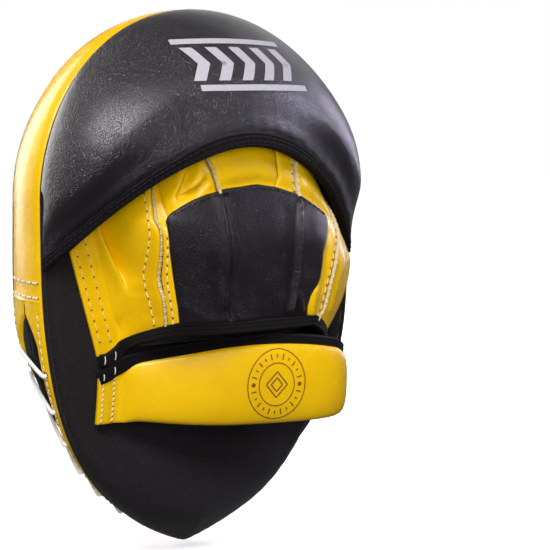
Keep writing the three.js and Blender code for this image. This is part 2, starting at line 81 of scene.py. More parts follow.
def aim(obj, direction):
    obj.rotation_mode = "QUATERNION"
    obj.rotation_quaternion = direction.to_track_quat("-Z", "Y")


camera = bpy.data.objects.new("camera", bpy.data.cameras.new("camera"))
bpy.context.scene.collection.objects.link(camera)
bpy.context.scene.camera = camera
camera.location = -CAMERA_DISTANCE * sight
aim(camera, sight + AIM_RIGHT * right - AIM_DOWN * upward)
camera.data.sensor_width, camera.data.lens = SENSOR, LENS
camera.data.clip_start, camera.data.clip_end = 0.05, 50

middle = (cad_box[0] + cad_box[1]) / 2


def softbox(name, place, size, power, colour=(1, 1, 1), mirrored=True):
    """An area light at a place given along the camera's right, up and back directions. The shiny
    leather mirrors it only if it is mirrored."""
    light = bpy.data.lights.new(name, "AREA")
    light.shape = "RECTANGLE"
    light.size, light.size_y = size
    light.energy = power
    light.color = colour
    lamp = bpy.data.objects.new(name, light)
    bpy.context.scene.collection.objects.link(lamp)
    lamp.location = middle + place[0] * right + place[1] * upward - place[2] * sight
    aim(lamp, middle - lamp.location)
    lamp.visible_glossy = mirrored


softbox("key_light", (-0.12, 0.8, 0.85), (0.75, 0.5), 12, (0.98, 0.94, 1))
softbox("fill_light", (0.1, 0.1, 1.5), (0.9, 0.9), 16, mirrored=False)
softbox("left_light", (-0.93, 0.42, -0.52), (0.6, 1.0), 14, (1, 0.98, 0.97))
softbox("right_light", (0.91, 0.42, -0.04), (0.07, 0.35), 2.6, (0.80, 0.76, 1))
softbox("right_rim_light", (0.72, 0.26, -0.72), (0.12, 0.6), 3.2, (0.82, 0.78, 1))
softbox("back_light", (0.2, 0.8, -1.2), (1.0, 0.6), 2.2)
softbox("back_fill_light", (0.7, 0.2, -1.3), (0.9, 0.9), 9, mirrored=False)

# The backdrop is white to the camera and lights the object only a little.
ROOM_LIGHT, BACKDROP = 0.08, 1.0
world = bpy.data.worlds.new("studio")
world.use_nodes = True
backdrop = world.node_tree.nodes["Background"]
backdrop.inputs["Color"].default_value = (1, 1, 1, 1)
seen = world.node_tree.nodes.new("ShaderNodeLightPath").outputs["Is Camera Ray"]
strength = world.node_tree.nodes.new("ShaderNodeMapRange")
strength.inputs["To Min"].default_value = ROOM_LIGHT
strength.inputs["To Max"].default_value = BACKDROP
world.node_tree.links.new(seen, strength.inputs["Value"])
world.node_tree.links.new(strength.outputs["Result"], backdrop.inputs["Strength"])
bpy.context.scene.world = world
bpy.context.scene.view_settings.view_transform = "Standard"

# ---- sizes of the CAD frame, in millimetres -------------------------------------------------

back_low, back_high = (np.array(corner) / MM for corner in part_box("back_panel"))
WIDTH = back_high[0] - back_low[0]
FLAT_TOP, FLAT_BOTTOM = 20, -68
CURL_TOP, CURL_BOTTOM = 300, 236
TOP = FLAT_TOP + CURL_TOP * math.asin((back_high[2] - FLAT_TOP) / CURL_TOP)
BOTTOM = 186
TAPER, TIP = 3.5, 0.85
PAD_TOP, PAD_BOTTOM = 32, 42

LEATHER, TEXTILE, LINING = 1.5, 1.2, 1.0
GAP, LAYER_GAP = 0.3, 0.6
RIM_ROLL, RIM_START = 5, 0.72
FACE_INSET, FACE_INSET_LOW, BACK_INSET = 4.5, 25, 1.2
SIDE_BULGE = 4.5
TARGET_RADIUS, TARGET_CENTRE = 30, -38

SLOT_START, SLOT_END, SLOT_HALF, SLOT_BACKWARD = 195, 280, 7.6, 2.2
SLOT_CLOSED, SLOT_OPENING, SLOT_CLOSING = 2.5, 6, 10
UNDERLAY_DEPTH = 5.4
LACES, LACE_RADIUS = 8, 1.0
EYELET_EDGE, EYELET_RADIUS = 3.6, 1.7

CUSHION, CUSHION_TOP, CUSHION_RAMP = 26, -112, 50
HOOD, HOOD_CORNER, HOOD_APEX, HOOD_SEAM = 50, -34, 25, 2.4
GLOVE, GLOVE_UNDER_HOOD, GLOVE_TIP, GLOVE_MIDDLE = 46, 36, 72, 5
GLOVE_HEM = 2.6
FLANGE = 14
STRAP_SEAM = -52

# ---- design space: x across, s up the palm plane, d towards the strike side ------------------


def clamp(t):
    return np.clip(t, 0, 1)


def lerp(a, b, t):
    return a + (b - a) * t


def smooth(t):
    t = clamp(t)
    return t * t * (3 - 2 * t)


def hump(at, width, centre=0):
    """1 at the centre, fading out smoothly on both sides."""
    return np.exp(-(((at - centre) / width) ** 2))


def round_drop(share):
    """Drop of a quarter round: 0 where share is 0, 1 where it is 1."""
    return 1 - np.sqrt(1 - share**2)


def constant(value):
    return lambda at: value + 0 * at


def shifted(line, amount):
    return lambda at: line(at) + amount


def circle(count):
    return np.linspace(0, 2 * math.pi, count, endpoint=False)


def stack(*parts):
    return np.stack(np.broadcast_arrays(*parts), -1)


def half_width(s):
    """Half the pad's width at s: an ellipse above s = 0 and a tapering end below."""
    upper = np.sqrt(np.maximum(0, 1 - (s / TOP) ** 2))
    lower = np.maximum(0, 1 - np.abs(np.minimum(s, 0) / BOTTOM) ** TAPER) ** TIP
    return WIDTH / 2 * np.where(s >= 0, upper, lower)


def egg(angle):
    """The pad's outline as (x, s)."""
    rise = np.sin(angle)
    s = rise * np.where(rise > 0, TOP, BOTTOM)
    return stack(np.sign(np.cos(angle)) * half_width(s), s)


def rim_point(angle, drawn_in, outward):
    """The outline drawn in towards the origin, then moved out at right angles to itself."""
    along = egg(angle + 0.01) - egg(angle - 0.01)
    along /= np.linalg.norm(along, axis=-1, keepdims=True)
    rim = egg(angle)
    length = np.linalg.norm(rim, axis=-1)
    rim = rim * ((length - drawn_in) / length)[..., None]
    return rim + np.stack([along[..., 1], -along[..., 0]], -1) * np.asarray(outward)[..., None]


def reach(x, s):
    """0 at the origin and 1 on the rim."""
    upper = np.hypot(x / (WIDTH / 2), s / TOP)
    low, high = np.maximum(1e-6, -s / BOTTOM), np.full(np.shape(s), 2.0)
    for _ in range(30):
        half = (low + high) / 2
        inside = half_width(s / half) > np.abs(x) / half
        low, high = np.where(inside, low, half), np.where(inside, half, high)
    return np.where(s >= 0, upper, high)


def pad_thickness(s):
    return lerp(PAD_BOTTOM, PAD_TOP, (s + BOTTOM) / (TOP + BOTTOM))


def bend(x, s, d):
    """The frame's place of a design point. The palm plane curls above FLAT_TOP and below FLAT_BOTTOM."""
    x, s, d = np.broadcast_arrays(x, s, d)
    top = np.maximum(0, s - FLAT_TOP) / CURL_TOP
    low = np.maximum(0, FLAT_BOTTOM - s) / CURL_BOTTOM
    y = np.where(
        s > FLAT_TOP,
        CURL_TOP - (CURL_TOP - d) * np.cos(top),
        np.where(s < FLAT_BOTTOM, CURL_BOTTOM - (CURL_BOTTOM - d) * np.cos(low), d),
    )
    z = np.where(
        s > FLAT_TOP,
        FLAT_TOP + (CURL_TOP - d) * np.sin(top),
        np.where(s < FLAT_BOTTOM, FLAT_BOTTOM - (CURL_BOTTOM - d) * np.sin(low), s),
    )
    return stack(x, y, z)


def through(points):
    """A function that follows the points given as (place, value)."""
    places, values = np.array(sorted(points), float).T
    return lambda at: np.interp(at, places, values)


def near(x, s, line):
    """Distance of (x, s) from a line of points."""
    best = np.full(np.broadcast(x, s).shape, 1e9)
    for (ax, a_s), (bx, b_s) in zip(line[:-1], line[1:]):
        dx, ds = bx - ax, b_s - a_s
        t = clamp(((x - ax) * dx + (s - a_s) * ds) / (dx * dx + ds * ds))
        best = np.minimum(best, np.hypot(x - ax - t * dx, s - a_s - t * ds))
    return best


def fold(x, s, line, width, height):
    """A soft ridge or crease along a line, or along the branches of several lines. A pair of widths
    gives an upright crease a different slope on its left and right, and fades out its lower end."""
    lines = line if isinstance(line[0], list) else [line]
    away = np.min([near(x, s, each) for each in lines], axis=0)
    if isinstance(width, tuple):
        across, places = np.array(line[::-1], float).T
        width = np.where(x < np.interp(s, places, across), *width)
        height = height * smooth((s - places[0] + 2) / 16)
    return height * hump(away, width)


def waves(x, s, size, seed=0):
    """A smooth uneven surface between about -1 and 1, from crossing waves."""
    total = 0
    for k in range(5):
        turn = seed * 1.7 + k * 1.3
        wide = size * (0.7 + 0.23 * k)
        total = total + np.sin(
            (x * math.cos(turn) + s * math.sin(turn)) * 2 * math.pi / wide + 2.1 * k * k + seed
        )
    return total / 3


# ---- meshes ---------------------------------------------------------------------------------


def steps(count, length, rounded=3.0):
    """count + 1 places from 0 to 1, closer together within the rounded edges."""
    t = np.linspace(0, 1, count + 1)
    edge = np.array([0, 0.08, 0.25, 0.5, 0.75, 1.0]) * rounded / length
    inner = t[(t > edge[-1] * 1.2) & (t < 1 - edge[-1] * 1.2)]
    return np.concatenate([edge, inner, 1 - edge[::-1]])


def run_lengths(p, axis):
    """Distance along an axis of a grid of points, from its start."""
    step = np.linalg.norm(np.diff(p, axis=axis), axis=-1)
    zero = np.zeros_like(np.take(step, [0], axis))
    return np.concatenate([zero, np.cumsum(step, axis=axis)], axis)


def path_lengths(path):
    return run_lengths(path[:, None], 0)[:, 0]


def edge_distance(p, sides="uUvV"):
    """Distance from the sides of a grid: u and U start and end its first axis, v and V its second."""
    best = np.full(p.shape[:2], 1e9)
    for axis, (start, end) in enumerate(("uU", "vV")):
        length = run_lengths(p, axis)
        if start in sides:
            best = np.minimum(best, length)
        if end in sides:
            best = np.minimum(best, np.take(length, [-1], axis) - length)
    return best


def unit(v):
    return v / np.maximum(1e-9, np.linalg.norm(v, axis=-1, keepdims=True))


def normals(p):
    return unit(np.cross(np.gradient(p, axis=0), np.gradient(p, axis=1)))


def tucked(p, width, depth, sides="uUvV"):
    """The grid with its edges rounded down over width."""
    share = clamp(1 - edge_distance(p, sides) / width)
    return p - normals(p) * (depth * round_drop(share))[..., None]


SHARP_ANGLE = math.radians(50)
DOUBLE_DISTANCE = 1e-7


def make(name, points, faces, finishes, along=None, second=None):
    """A mesh object from points in millimetres. Faces from index second on take the second finish."""
    mesh = bpy.data.meshes.new(name)
    mesh.from_pydata((points * MM).tolist(), [], faces)
    if along is not None:
        flat = np.zeros((len(points), 3), np.float32)
        flat[:, :2] = along
        mesh.attributes.new("along", "FLOAT_VECTOR", "POINT").data.foreach_set("vector", flat.ravel())
    if second is not None:
        mesh.polygons.foreach_set("material_index", [int(i >= second) for i in range(len(faces))])
    work = bmesh.new()
    work.from_mesh(mesh)
    bmesh.ops.remove_doubles(work, verts=work.verts, dist=DOUBLE_DISTANCE)
    bmesh.ops.recalc_face_normals(work, faces=work.faces)
    work.to_mesh(mesh)
    work.free()
    mesh.polygons.foreach_set("use_smooth", [True] * len(mesh.polygons))
    mesh.set_sharp_from_angle(angle=SHARP_ANGLE)
    obj = bpy.data.objects.new(name, mesh)
    bpy.context.scene.collection.objects.link(obj)
    for finish in finishes:
        mesh.materials.append(finish)
    return obj


def quads(index):
    a, b, c, d = index[:-1, :-1], index[1:, :-1], index[1:, 1:], index[:-1, 1:]
    return np.stack([a, b, c, d], -1).reshape(-1, 4).tolist()


def closed_faces(shape, wrap=False):
    """Faces of a closed mesh between two grids of one shape, the second grid's points last."""
    count = shape[0] * shape[1]
    index = np.arange(count).reshape(shape)
    if wrap:
        index = np.vstack([index, index[:1]])
    faces = quads(index) + quads(index + count)
    borders = [index[:, 0], index[:, -1]]
    if not wrap:
        borders += [index[0], index[-1]]
    for border in borders:
        faces += quads(np.stack([border, border + count], 1))
    return faces


def solid(name, outer, inner, finish, wrap=False):
    """A closed mesh between two grids of points."""
    flat = np.stack([run_lengths(outer, 0), run_lengths(outer, 1)], -1).reshape(-1, 2)
    points = np.concatenate([outer.reshape(-1, 3), inner.reshape(-1, 3)])
    faces = closed_faces(outer.shape[:2], wrap)
    return make(name, points, faces, [finish], np.concatenate([flat, flat]))


def panel(name, p, thickness, finish, round_width=2.0, round_depth=0.9):
    """A soft sheet: p is its outer face, rounded along its edges."""
    outer = tucked(p, round_width, min(round_depth, thickness * 0.75))
    return solid(name, outer, p - normals(p) * thickness, finish)


def resampled(path, spacing):
    """Even steps along a path. Further columns of the path are carried along."""
    length = path_lengths(path)
    wanted = np.linspace(0, length[-1], max(2, round(length[-1] / spacing) + 1))
    return np.stack([np.interp(wanted, length, path[:, k]) for k in range(path.shape[1])], -1)


def swept(path, ups, profile, closed=False):
    """Points and faces of a closed profile of (side, up) places carried along a path."""
    if closed:
        tangent = np.roll(path, -1, 0) - np.roll(path, 1, 0)
    else:
        tangent = np.gradient(path, axis=0)
    tangent = unit(tangent)
    side = unit(np.cross(tangent, ups))
    up = np.cross(side, tangent)
    profile = np.broadcast_to(profile, (len(path), *np.shape(profile)[-2:]))
    points = path[:, None] + profile[..., :1] * side[:, None] + profile[..., 1:] * up[:, None]
    count, sides = len(path), profile.shape[1]
    index = np.arange(count * sides).reshape(count, sides)
    index = np.hstack([index, index[:, :1]])
    if closed:
        index = np.vstack([index, index[:1]])
    faces = quads(index)
    if not closed:
        faces += [index[0, :-1][::-1].tolist(), index[-1, :-1].tolist()]
    return points.reshape(-1, 3), faces


def joined(parts):
    """The points and faces of several meshes as one."""
    points, faces, start = [], [], 0
    for some_points, some_faces in parts:
        points.append(some_points)
        faces += [[i + start for i in face] for face in some_faces]
        start += len(some_points)
    return np.concatenate(points), faces


def ring_profile(wide, high, sides=10, lift=0.0):
    """An ellipse to carry along a path."""
    turn = circle(sides)
    return np.stack([wide * np.cos(turn), lift + high * np.sin(turn)], -1)


def cord_piece(name, path, ups, profile, finish, closed=False):
    """A profile carried along a path. The along attribute holds its length and the place round it."""
    points, faces = swept(path, ups, profile, closed)
    length = path_lengths(path)
    around = np.linspace(0, 1, np.shape(profile)[-2], endpoint=False)
    flat = np.stack(np.meshgrid(length, around, indexing="ij"), -1).reshape(-1, 2)
    return make(name, points, faces, [finish], flat)


STITCH_POINTS = 7


def stitched(name, rows, thread, pitch=4.6, share=0.8, radius=0.42, holes=True, slant=0.0):
    """Sunk stitches along rows, each a pair of path and normals. A small dark disc at the start of each stitch
    paints the shade of its needle hole.
    """
    threads, hole_shade_discs = [], []
    for path, ups in rows:
        both = resampled(np.hstack([path, ups]), 0.5)
        length = path_lengths(both[:, :3])
        count = max(1, int(length[-1] / pitch))
        for k in range(count):
            start = (k + 0.5 - share / 2) * length[-1] / count
            end = start + share * length[-1] / count
            t = np.linspace(0, 1, STITCH_POINTS)
            at = lerp(start, end, t)
            here = np.stack([np.interp(at, length, both[:, c]) for c in range(6)], -1)
            line, up = here[:, :3], unit(here[:, 3:])
            side = unit(np.cross(np.gradient(line, axis=0), up))
            lift = radius * (2.0 * np.sin(math.pi * t) ** 0.7 - 0.9)
            line = line + up * lift[:, None] + side * ((t - 0.5) * slant)[:, None]
            threads.append(swept(line, up, ring_profile(radius, radius * 0.8, 6)))
            # Painted shade: a flat dark disc where each stitch starts stands in for the shade inside its
            # needle hole.
            if holes:
                place = here[0, :3] + here[0, 3:] * 0.03
                tangent = unit(here[1, :3] - here[0, :3])
                flat = np.stack([place - tangent * 0.3, place + tangent * 0.3])
                hole_shade_discs.append(swept(flat, np.stack([up[0], up[0]]), ring_profile(0.5, 0.12, 8)))
    points, faces = joined(threads + hole_shade_discs)
    first_hole = sum(len(part[1]) for part in threads)
    return make(name, points, faces, [thread, HOLE_SHADE], second=first_hole)


# ---- finishes -------------------------------------------------------------------------------


class Nodes:
    """A short way to lay out the nodes of one material."""

    def __init__(self, name, roughness, **sockets):
        self.material = bpy.data.materials.new(name)
        self.material.use_nodes = True
        self.tree = self.material.node_tree
        self.shader = self.tree.nodes["Principled BSDF"]
        self.shader.inputs["Roughness"].default_value = roughness
        for socket, value in sockets.items():
            self.shader.inputs[socket.replace("_", " ")].default_value = value
        self.height = None

    def add(self, kind, inputs=None, **settings):
        node = self.tree.nodes.new("ShaderNode" + kind)
        for key, value in settings.items():
            setattr(node, key, value)
        for key, value in (inputs or {}).items():
            if isinstance(value, bpy.types.NodeSocket):
                self.tree.links.new(value, node.inputs[key])
            else:
                node.inputs[key].default_value = value
        return node

    def place(self, flat=False):
        if flat:
            return self.add("Attribute", attribute_name="along").outputs["Vector"]
        return self.add("TexCoord").outputs["Object"]

    def noise(self, vector, scale, detail=4.0, rough=0.55):
        inputs = {"Vector": vector, "Scale": scale, "Detail": detail, "Roughness": rough}
        return self.add("TexNoise", inputs).outputs["Fac"]

    def cells(self, vector, scale, feature="DISTANCE_TO_EDGE"):
        return self.add("TexVoronoi", {"Vector": vector, "Scale": scale}, feature=feature).outputs["Distance"]

    def ramp(self, value, low, high, out_low=0.0, out_high=1.0):
        inputs = {"Value": value, "From Min": low, "From Max": high, "To Min": out_low, "To Max": out_high}
        return self.add("MapRange", inputs).outputs["Result"]

    def maths(self, operation, a, b):
        return self.add("Math", {0: a, 1: b}, operation=operation).outputs["Value"]

    def colour(self, share, deep, light):
        """The base colour goes from deep to light with the share."""
        node = self.add("Mix", {0: share, 6: (*deep, 1), 7: (*light, 1)}, data_type="RGBA")
        self.tree.links.new(node.outputs[2], self.shader.inputs["Base Color"])

    def roughness(self, socket):
        self.tree.links.new(socket, self.shader.inputs["Roughness"])

    def bump(self, socket, distance, strength=1.0):
        """distance is the relief's height in metres."""
        inputs = {"Height": socket, "Distance": distance, "Strength": strength}
        if self.height is not None:
            inputs["Normal"] = self.height
        self.height = self.add("Bump", inputs).outputs["Normal"]
        self.tree.links.new(self.height, self.shader.inputs["Normal"])


def leather(name, deep, light, roughness, grain, relief, coat=(0.15, 0.16), haze=0.1, gloss=0.5):
    """Coated leather. grain is the number of pores a metre and relief their depth in metres, coat the
    weight and roughness of its coat, and haze the spread of its own roughness."""
    n = Nodes(name, roughness, Coat_Weight=coat[0], Coat_Roughness=coat[1], Specular_IOR_Level=gloss)
    at = n.place()
    n.colour(n.ramp(n.noise(at, 34, 5), 0.3, 0.7), deep, light)
    mottle = n.noise(at, 190, 3)
    n.roughness(n.ramp(mottle, 0.3, 0.7, roughness - haze / 2, roughness + haze / 2))
    n.bump(n.noise(at, 60, 2), relief * 4, 0.6)
    pores = n.ramp(n.cells(at, grain), 0.0, 0.12)
    n.bump(n.maths("ADD", pores, n.noise(at, grain * 2.2, 3)), relief, 0.8)
    return n.material


def cloth(name, deep, light, weave, relief, sheen=0.25):
    """A woven or felted cloth with weave threads a metre."""
    n = Nodes(name, 0.9, Sheen_Weight=sheen, Sheen_Roughness=0.5, Specular_IOR_Level=0.25)
    at = n.place()
    fibre = n.cells(at, weave, "F1")
    speckle = n.noise(at, weave * 1.3, 4, 0.7)
    n.colour(n.ramp(n.maths("MULTIPLY", fibre, speckle), 0.05, 0.4), deep, light)
    n.bump(n.noise(at, 45, 3), relief * 3, 0.5)
    n.bump(n.maths("ADD", fibre, speckle), relief, 1.0)
    return n.material


def ribbed(name, deep, light, ribs, relief):
    """A woven tape: threads run across its length, whose places are in the along attribute."""
    n = Nodes(name, 0.8, Sheen_Weight=0.03, Specular_IOR_Level=0.15)
    inputs = {"Vector": n.place(flat=True), "Scale": ribs, "Distortion": 1.2, "Detail": 2.0}
    wave = n.add("TexWave", inputs, bands_direction="X").outputs["Fac"]
    speckle = n.noise(n.place(), 1600, 3, 0.7)
    n.colour(n.maths("MULTIPLY", wave, speckle), deep, light)
    n.bump(wave, relief, 0.8)
    n.bump(speckle, relief, 0.7)
    return n.material


def dull(name, deep, light, roughness=0.8, scale=900, relief=0.0001):
    """A finish with fine specks and no shine of its own."""
    n = Nodes(name, roughness)
    speckle = n.noise(n.place(), scale, 4, 0.65)
    n.colour(n.ramp(speckle, 0.3, 0.7), deep, light)
    n.bump(speckle, relief, 0.8)
    return n.material


YELLOW = leather("yellow_leather", (0.77, 0.45, 0.0), (0.85, 0.52, 0.001), 0.27, 1150, 0.00004)
DEEP_BLACK, LIGHT_BLACK = (0.006, 0.0045, 0.006), (0.010, 0.008, 0.011)
BLACK = leather("black_leather", DEEP_BLACK, LIGHT_BLACK, 0.30, 1000, 0.00011, (0.1, 0.3), 0.03, 1.0)
STRUCK = leather("strike_face_leather", DEEP_BLACK, LIGHT_BLACK, 0.38, 1000, 0.0001, (0.05, 0.3), 0.1, 0.4)
DEEP_GRAINED, LIGHT_GRAINED = (0.004, 0.003, 0.004), (0.009, 0.007, 0.0095)
GRAINED = leather("grained_black_leather", DEEP_GRAINED, LIGHT_GRAINED, 0.40, 850, 0.00011, (0.1, 0.35), 0.16)
WHITE = leather("white_leather", (0.66, 0.65, 0.70), (0.72, 0.71, 0.76), 0.36, 1100, 0.00003)
BACKING = cloth("black_textile", (0.003, 0.0025, 0.003), (0.017, 0.014, 0.016), 1500, 0.00018, 0.11)
INSIDE = cloth("lining_cloth", (0.010, 0.010, 0.011), (0.034, 0.034, 0.036), 900, 0.0002)
TAPE = ribbed("binding_tape", (0.002, 0.0015, 0.002), (0.011, 0.0085, 0.010), 1.3, 0.00015)
RIBBED = ribbed("underlay_tape", (0.003, 0.003, 0.004), (0.022, 0.021, 0.024), 0.9, 0.0002)
RAW = dull("raw_leather_edge", (0.50, 0.40, 0.16), (0.72, 0.60, 0.32))
THREAD = dull("pale_thread", (0.70, 0.50, 0.16), (0.86, 0.72, 0.42), 0.6, 2500, 0.00005)
WHITE_THREAD = dull("white_thread", (0.66, 0.62, 0.60), (0.85, 0.82, 0.80), 0.6, 2500, 0.00005)
TONED_THREAD = dull("toned_thread", (0.72, 0.47, 0.06), (0.88, 0.66, 0.2), 0.6, 2500, 0.00005)
BLACK_THREAD = dull("black_thread", (0.004, 0.004, 0.005), (0.018, 0.017, 0.019), 0.55, 2500, 0.00005)
LACE = dull("white_lace", (0.66, 0.65, 0.62), (0.86, 0.85, 0.82), 0.7, 2600, 0.00008)
# Painted shade: a dark finish for the discs that stand in for the shade inside needle holes and eyelets.
HOLE_SHADE = dull("painted_hole_shade", (0.006, 0.005, 0.003), (0.02, 0.016, 0.01), 0.95)
PRINT = dull("silver_print", (0.37, 0.36, 0.39), (0.52, 0.51, 0.54), 0.5, 1500, 0.00003)
STAMP = dull("brown_print", (0.14, 0.055, 0.008), (0.22, 0.09, 0.012), 0.45, 1500, 0.00003)
HOOKS = dull("hook_tape_finish", (0.004, 0.004, 0.005), (0.03, 0.03, 0.032), 0.7, 1400, 0.0006)
LOOPS = dull("loop_tape_finish", (0.006, 0.006, 0.007), (0.045, 0.045, 0.047), 0.95, 700, 0.0008)


def floor_finish():
    """A pale floor that turns as bright as the studio's white backdrop away from the object."""
    n = Nodes("pale_floor", 0.9, Specular_IOR_Level=0.2)
    at = n.place()
    n.colour(n.noise(at, 6), (0.80, 0.80, 0.81), (0.83, 0.83, 0.84))
    distance = n.add("VectorMath", {0: at}, operation="LENGTH").outputs["Value"]
    n.shader.inputs["Emission Color"].default_value = (1, 1, 1, 1)
    n.tree.links.new(n.ramp(distance, 0.05, 0.55, 0.1, 1.0), n.shader.inputs["Emission Strength"])
    return n.material


def stands(piece, *nodes, body="mitt"):
    """The piece rides on a body and stands for CAD nodes, which are hidden."""
    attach(piece, body)
    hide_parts(*nodes)
    return piece


def rides(piece, body="mitt"):
    """The piece rides on a body but stands for no CAD node."""
    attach(piece, body)
    return piece


def bends(piece, slot, *nodes):
    """A piece of the strap that is sewn down on the mitt: its transform is baked into its mesh, and the CAD
    nodes it stands for are hidden.
    """
    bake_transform(piece)
    if nodes:
        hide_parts(*nodes)
    return piece


# ---- pad: back, side wall, strike face --------------------------------------------------------

ANGLES = circle(288)


def face_inset(s):
    """How far the strike face's edge lies inside the outline."""
    return lerp(FACE_INSET, FACE_INSET_LOW, smooth((-60 - s) / 75))


def face_rim(angle):
    return rim_point(angle, face_inset(egg(angle)[..., 1]), np.zeros_like(angle))


def rim_thickness(angle):
    return pad_thickness(face_rim(angle)[..., 1])


def wall_point(angle, d, sunk):
    """A point of the bulging side wall at depth d, sunk below its surface."""
    angle, d = np.broadcast_arrays(angle, d)
    share = clamp(d / rim_thickness(angle))
    swell = SIDE_BULGE * 4 * share * (1 - share)
    point = rim_point(angle, face_inset(egg(angle)[..., 1]) * share, swell - sunk)
    return bend(point[..., 0], point[..., 1], d)


def cushion_height(x, s):
    """Swelling of the wrist cushion under the back panel."""
    rise = smooth((CUSHION_TOP - s) / CUSHION_RAMP)
    return CUSHION * rise * np.sqrt(np.maximum(0, 1 - np.minimum(1, reach(x, s)) ** 6))


def disc_grid(rim, rings):
    """x and s over rings of a rim, and each point's ring."""
    ring = np.broadcast_to(rings, (len(ANGLES), len(rings)))
    point = rim(ANGLES)[:, None] * ring[..., None]
    return point[..., 0], point[..., 1], ring


def back_piece():
    """The textile back with its cushion, sagging and puckered inside its seam."""
    rings = 1 - (1 - np.linspace(0, 1, 64)) ** 1.25
    x, s, ring = disc_grid(lambda angle: rim_point(angle, BACK_INSET, np.zeros_like(angle)), rings)
    edge = (1 - ring) * np.hypot(x, s)
    height = cushion_height(x, s)
    swell = smooth((CUSHION_TOP + 14 - s) / 40)
    height = height + swell * smooth(edge / 26) * 0.8 * waves(x, s, 74, 3)
    height = height + smooth(edge / 12) * 0.22 * waves(x, s, 33, 1)
    sag = [(-40, -121), (-10, -127), (24, -126), (44, -121)]
    height = height + fold(x, s, sag, 5, -1.3) + fold(x, s, [(a, b - 9) for a, b in sag], 6, 1.1)
    height = height - 1.1 * hump(edge, 1.6) + 0.5 * hump(edge, 3, 5)
    pucker = np.cos(np.arange(len(ANGLES))[:, None] * 2 * math.pi / 3.2)
    height = height + 0.12 * pucker * hump(edge, 3, 3)
    outer = bend(x, s, -height)
    inner = bend(x, s, np.full_like(height, TEXTILE))
    return solid("back_panel_textile", outer, inner, BACKING, wrap=True)


stands(back_piece(), "back_panel", "wrist_cushion", "backing_foam")


def rim_roll(ring):
    return RIM_ROLL * clamp((ring - RIM_START) / (1 - RIM_START)) ** 2


def face_relief(x, s):
    return 0.35 * waves(x, s, 90, 2) - 0.3


def strike_height(x, s, ring):
    soft = smooth((1 - ring) / 0.2)
    height = pad_thickness(s) - rim_roll(ring)
    return height + soft * face_relief(x, s) - 0.5 * hump(1 - ring, 0.012)


def strike_piece():
    """The black leather of the strike face, rolled over its rim."""
    rings = 1 - (1 - np.linspace(0, 1, 64)) ** 1.35
    x, s, ring = disc_grid(face_rim, rings)
    outer = bend(x, s, strike_height(x, s, ring))
    inner = bend(x, s, pad_thickness(s) - rim_roll(ring) - LEATHER - 2)
    return solid("strike_cover_leather", outer, inner, STRUCK, wrap=True)


stands(strike_piece(), "strike_cover", "impact_foam")


def on_face(x, s, lift):
    return bend(x, s, pad_thickness(s) + face_relief(x, s) + lift)


def disc_target():
    ring = np.broadcast_to(1 - (1 - np.linspace(0, 1, 30)) ** 1.5, (96, 30))
    turn = circle(96)[:, None]
    x = TARGET_RADIUS * ring * np.cos(turn)
    s = TARGET_CENTRE + TARGET_RADIUS * ring * np.sin(turn)
    outer = on_face(x, s, 0.95 - 0.55 * hump((1 - ring) * TARGET_RADIUS, 0.5))
    return solid("target_disc_leather", outer, on_face(x, s, 0.1), WHITE, wrap=True)


stands(disc_target(), "target_disc")

# The side wall. Its yellow skin rolls over at both edges.
WALL_BACK = -0.2
MM_PER_DEGREE = 3


def wall_front(angle):
    return rim_thickness(angle) - RIM_ROLL - LEATHER - LAYER_GAP


def wall_middle(angle):
    return (TEXTILE + LAYER_GAP + wall_front(angle)) / 2 - SLOT_BACKWARD


def slot_half(angle):
    """Half the slot's opening, which closes over some degrees at both ends."""
    degrees = np.degrees(angle) % 360
    upper = smooth((degrees - SLOT_START - SLOT_CLOSED) / SLOT_OPENING)
    opened = np.minimum(upper, smooth((SLOT_END - degrees) / SLOT_CLOSING))
    return lerp(0.1, SLOT_HALF, np.sqrt(opened))


def wall_angles(start, end, count):
    """Angles down a column, closer together at both ends, from degrees."""
    length = abs(end - start) * MM_PER_DEGREE
    return np.radians(lerp(start, end, steps(count, length)))[:, None]


def wall_grid(start, end, count, back, front, rows, sunk=0.0):
    """Grid over a band of the wall, its depth running from front to back so that normals face out."""
    angle = wall_angles(start, end, count)
    share = rows[None, ::-1]
    d = lerp(back(angle), front(angle), share)
    return wall_point(angle, d, sunk)


def gusset_piece():
    """The yellow side wall outside the slot, puckered along its seams."""
    rows = steps(22, 26, 5)
    p = wall_grid(SLOT_END - 0.3 - 360, SLOT_START + 0.3, 260, constant(WALL_BACK), wall_front, rows)
    n = normals(p)
    run = run_lengths(p, 0)
    edge = edge_distance(p, "vV")
    pucker = 0.16 * np.sin(run * 2 * math.pi / 9) * np.exp(-edge / 3)
    swell = 0.35 * waves(run, edge, 60, 4) * smooth(edge / 6)
    lip = 0.5 * np.exp(-edge_distance(p, "uU") / 2)
    outer = tucked(p + n * (pucker + swell + lip)[..., None], 5, 1.8, "vV")
    return solid("side_gusset_leather", outer, p - n * (LEATHER + 1.2), YELLOW)


stands(gusset_piece(), "side_gusset")

lace_marks = np.radians(np.arange(SLOT_START + 9, SLOT_END - 6))
lace_lengths = path_lengths(egg(lace_marks))


def lace_angle(index):
    return np.interp(index / (LACES - 0.5) * lace_lengths[-1], lace_lengths, lace_marks)


def beside_slot(index, side, raised):
    angle = np.array(lace_angle(index))
    return wall_point(angle, wall_middle(angle) + side * (SLOT_HALF + EYELET_EDGE), -raised)


def eyelet(index, side, raised):
    return beside_slot(index + (0 if side > 0 else 0.5), side, raised)


def dimpled(p, n, places, radius, depth):
    """The grid pressed in round each place."""
    for place in places:
        away = np.linalg.norm(p - place, axis=-1)
        press = smooth((radius + 0.7 - away) / 0.9) * depth
        ring = 0.25 * hump(away - radius, 0.6, 1.1)
        p = p + n * (ring - press)[..., None]
    return p


